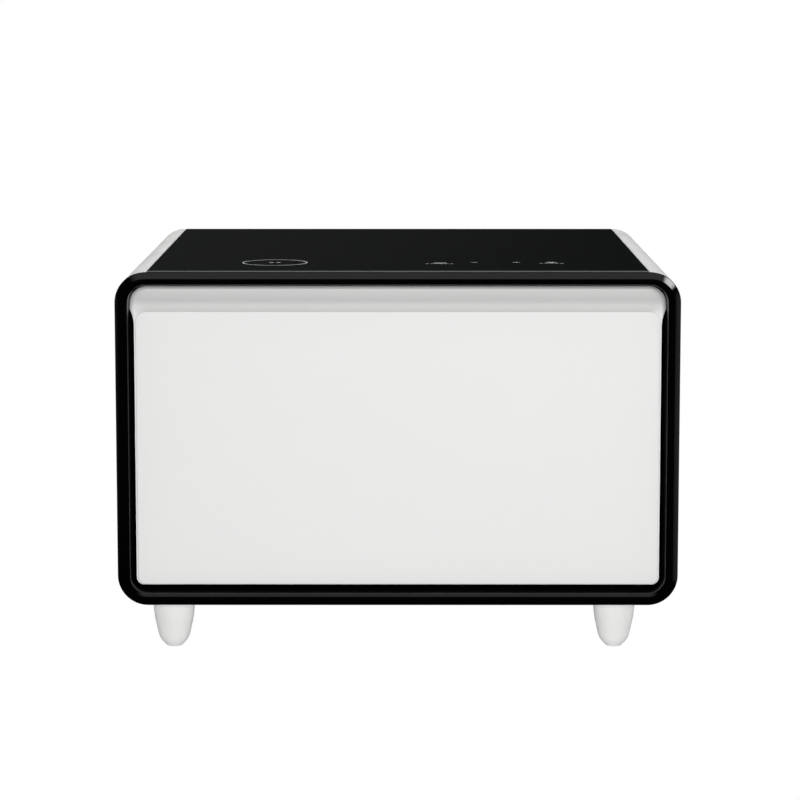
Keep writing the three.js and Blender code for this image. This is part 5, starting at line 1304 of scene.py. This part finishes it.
def studio():
    """The world: white to the camera, softboxes to polished surfaces, a soft fill to the others."""
    world = bpy.data.worlds.new("studio")
    bpy.context.scene.world = world
    world.use_nodes = True
    tree = world.node_tree
    tree.nodes.clear()
    direction = add(tree, "ShaderNodeTexCoord").outputs["Generated"]
    total = STUDIO_DIM
    for towards, brightness, full, fading in STUDIO_SOFTBOXES:
        closeness = add(
            tree,
            "ShaderNodeVectorMath",
            {0: direction, 1: Vector(towards).normalized()},
            operation="DOT_PRODUCT",
        )
        glow = add(
            tree,
            "ShaderNodeMapRange",
            {
                "Value": closeness.outputs["Value"],
                "From Min": math.cos(math.radians(fading)),
                "From Max": math.cos(math.radians(full)),
                "To Min": 0.0,
                "To Max": brightness,
            },
            interpolation_type="SMOOTHSTEP",
        ).outputs[0]
        total = add(tree, "ShaderNodeMath", {0: glow, 1: total}, operation="ADD").outputs[0]
    parts = add(tree, "ShaderNodeSeparateXYZ", {0: direction})
    fill = 0.0
    for axis, begins, full, brightness in STUDIO_FILL:
        glow = add(
            tree,
            "ShaderNodeMapRange",
            {
                "Value": parts.outputs[axis],
                "From Min": begins,
                "From Max": full,
                "To Min": 0.0,
                "To Max": brightness,
            },
        ).outputs[0]
        fill = add(tree, "ShaderNodeMath", {0: glow, 1: fill}, operation="ADD").outputs[0]
    kind = add(tree, "ShaderNodeLightPath")
    seen = add(
        tree,
        "ShaderNodeMix",
        {"Factor": kind.outputs["Is Glossy Ray"], "A": fill, "B": total},
        data_type="FLOAT",
    ).outputs["Result"]
    shown = add(
        tree,
        "ShaderNodeMix",
        {"Factor": kind.outputs["Is Camera Ray"], "A": seen, "B": 1.0},
        data_type="FLOAT",
    ).outputs["Result"]
    colour = linear("#ffffff")
    back_light = add(tree, "ShaderNodeBackground", {"Color": colour, "Strength": shown})
    add(tree, "ShaderNodeOutputWorld", {"Surface": back_light.outputs[0]})


studio()

# Softboxes that polished surfaces don't mirror: name, place, tilt in degrees, width, height, power
STUDIO_LIGHTS = [
    ("front_softbox", (0.3, -4.5, 0.71), 86, 2.4, 1.0, 119),
    ("upper_softbox", (0.3, -3.0, 2.75), 49, 2.4, 0.8, 27),
]
for light_name, place, tilt, width, height, power in STUDIO_LIGHTS:
    softbox = bpy.data.lights.new(light_name, "AREA")
    softbox.shape = "RECTANGLE"
    softbox.size = width
    softbox.size_y = height
    softbox.energy = power
    stand = bpy.data.objects.new(light_name, softbox)
    stand.location = place
    stand.rotation_euler = (math.radians(tilt), 0, 0)
    stand.visible_glossy = False
    stand.visible_camera = False
    bpy.context.scene.collection.objects.link(stand)

# The camera as worked out from the photograph's edges: millimetres, metres and degrees
LENS, SENSOR_WIDTH = 135, 36
CAMERA_PLACE = (0.0078, -3.7455, 0.7673)
CAMERA_TILT, CAMERA_TURN = 82.337, 0.087
# The floor's far parts have to lie nearer than this, in metres
CLIP_END = 200

camera_data = bpy.data.cameras.new("photo_camera")
camera_data.lens = LENS
camera_data.sensor_width = SENSOR_WIDTH
camera_data.clip_end = CLIP_END
camera = bpy.data.objects.new("photo_camera", camera_data)
camera.location = CAMERA_PLACE
camera.rotation_euler = (math.radians(CAMERA_TILT), 0, math.radians(CAMERA_TURN))
bpy.context.scene.collection.objects.link(camera)
bpy.context.scene.camera = camera

view_settings = bpy.context.scene.view_settings
view_settings.view_transform = "Standard"
view_settings.look = "None"
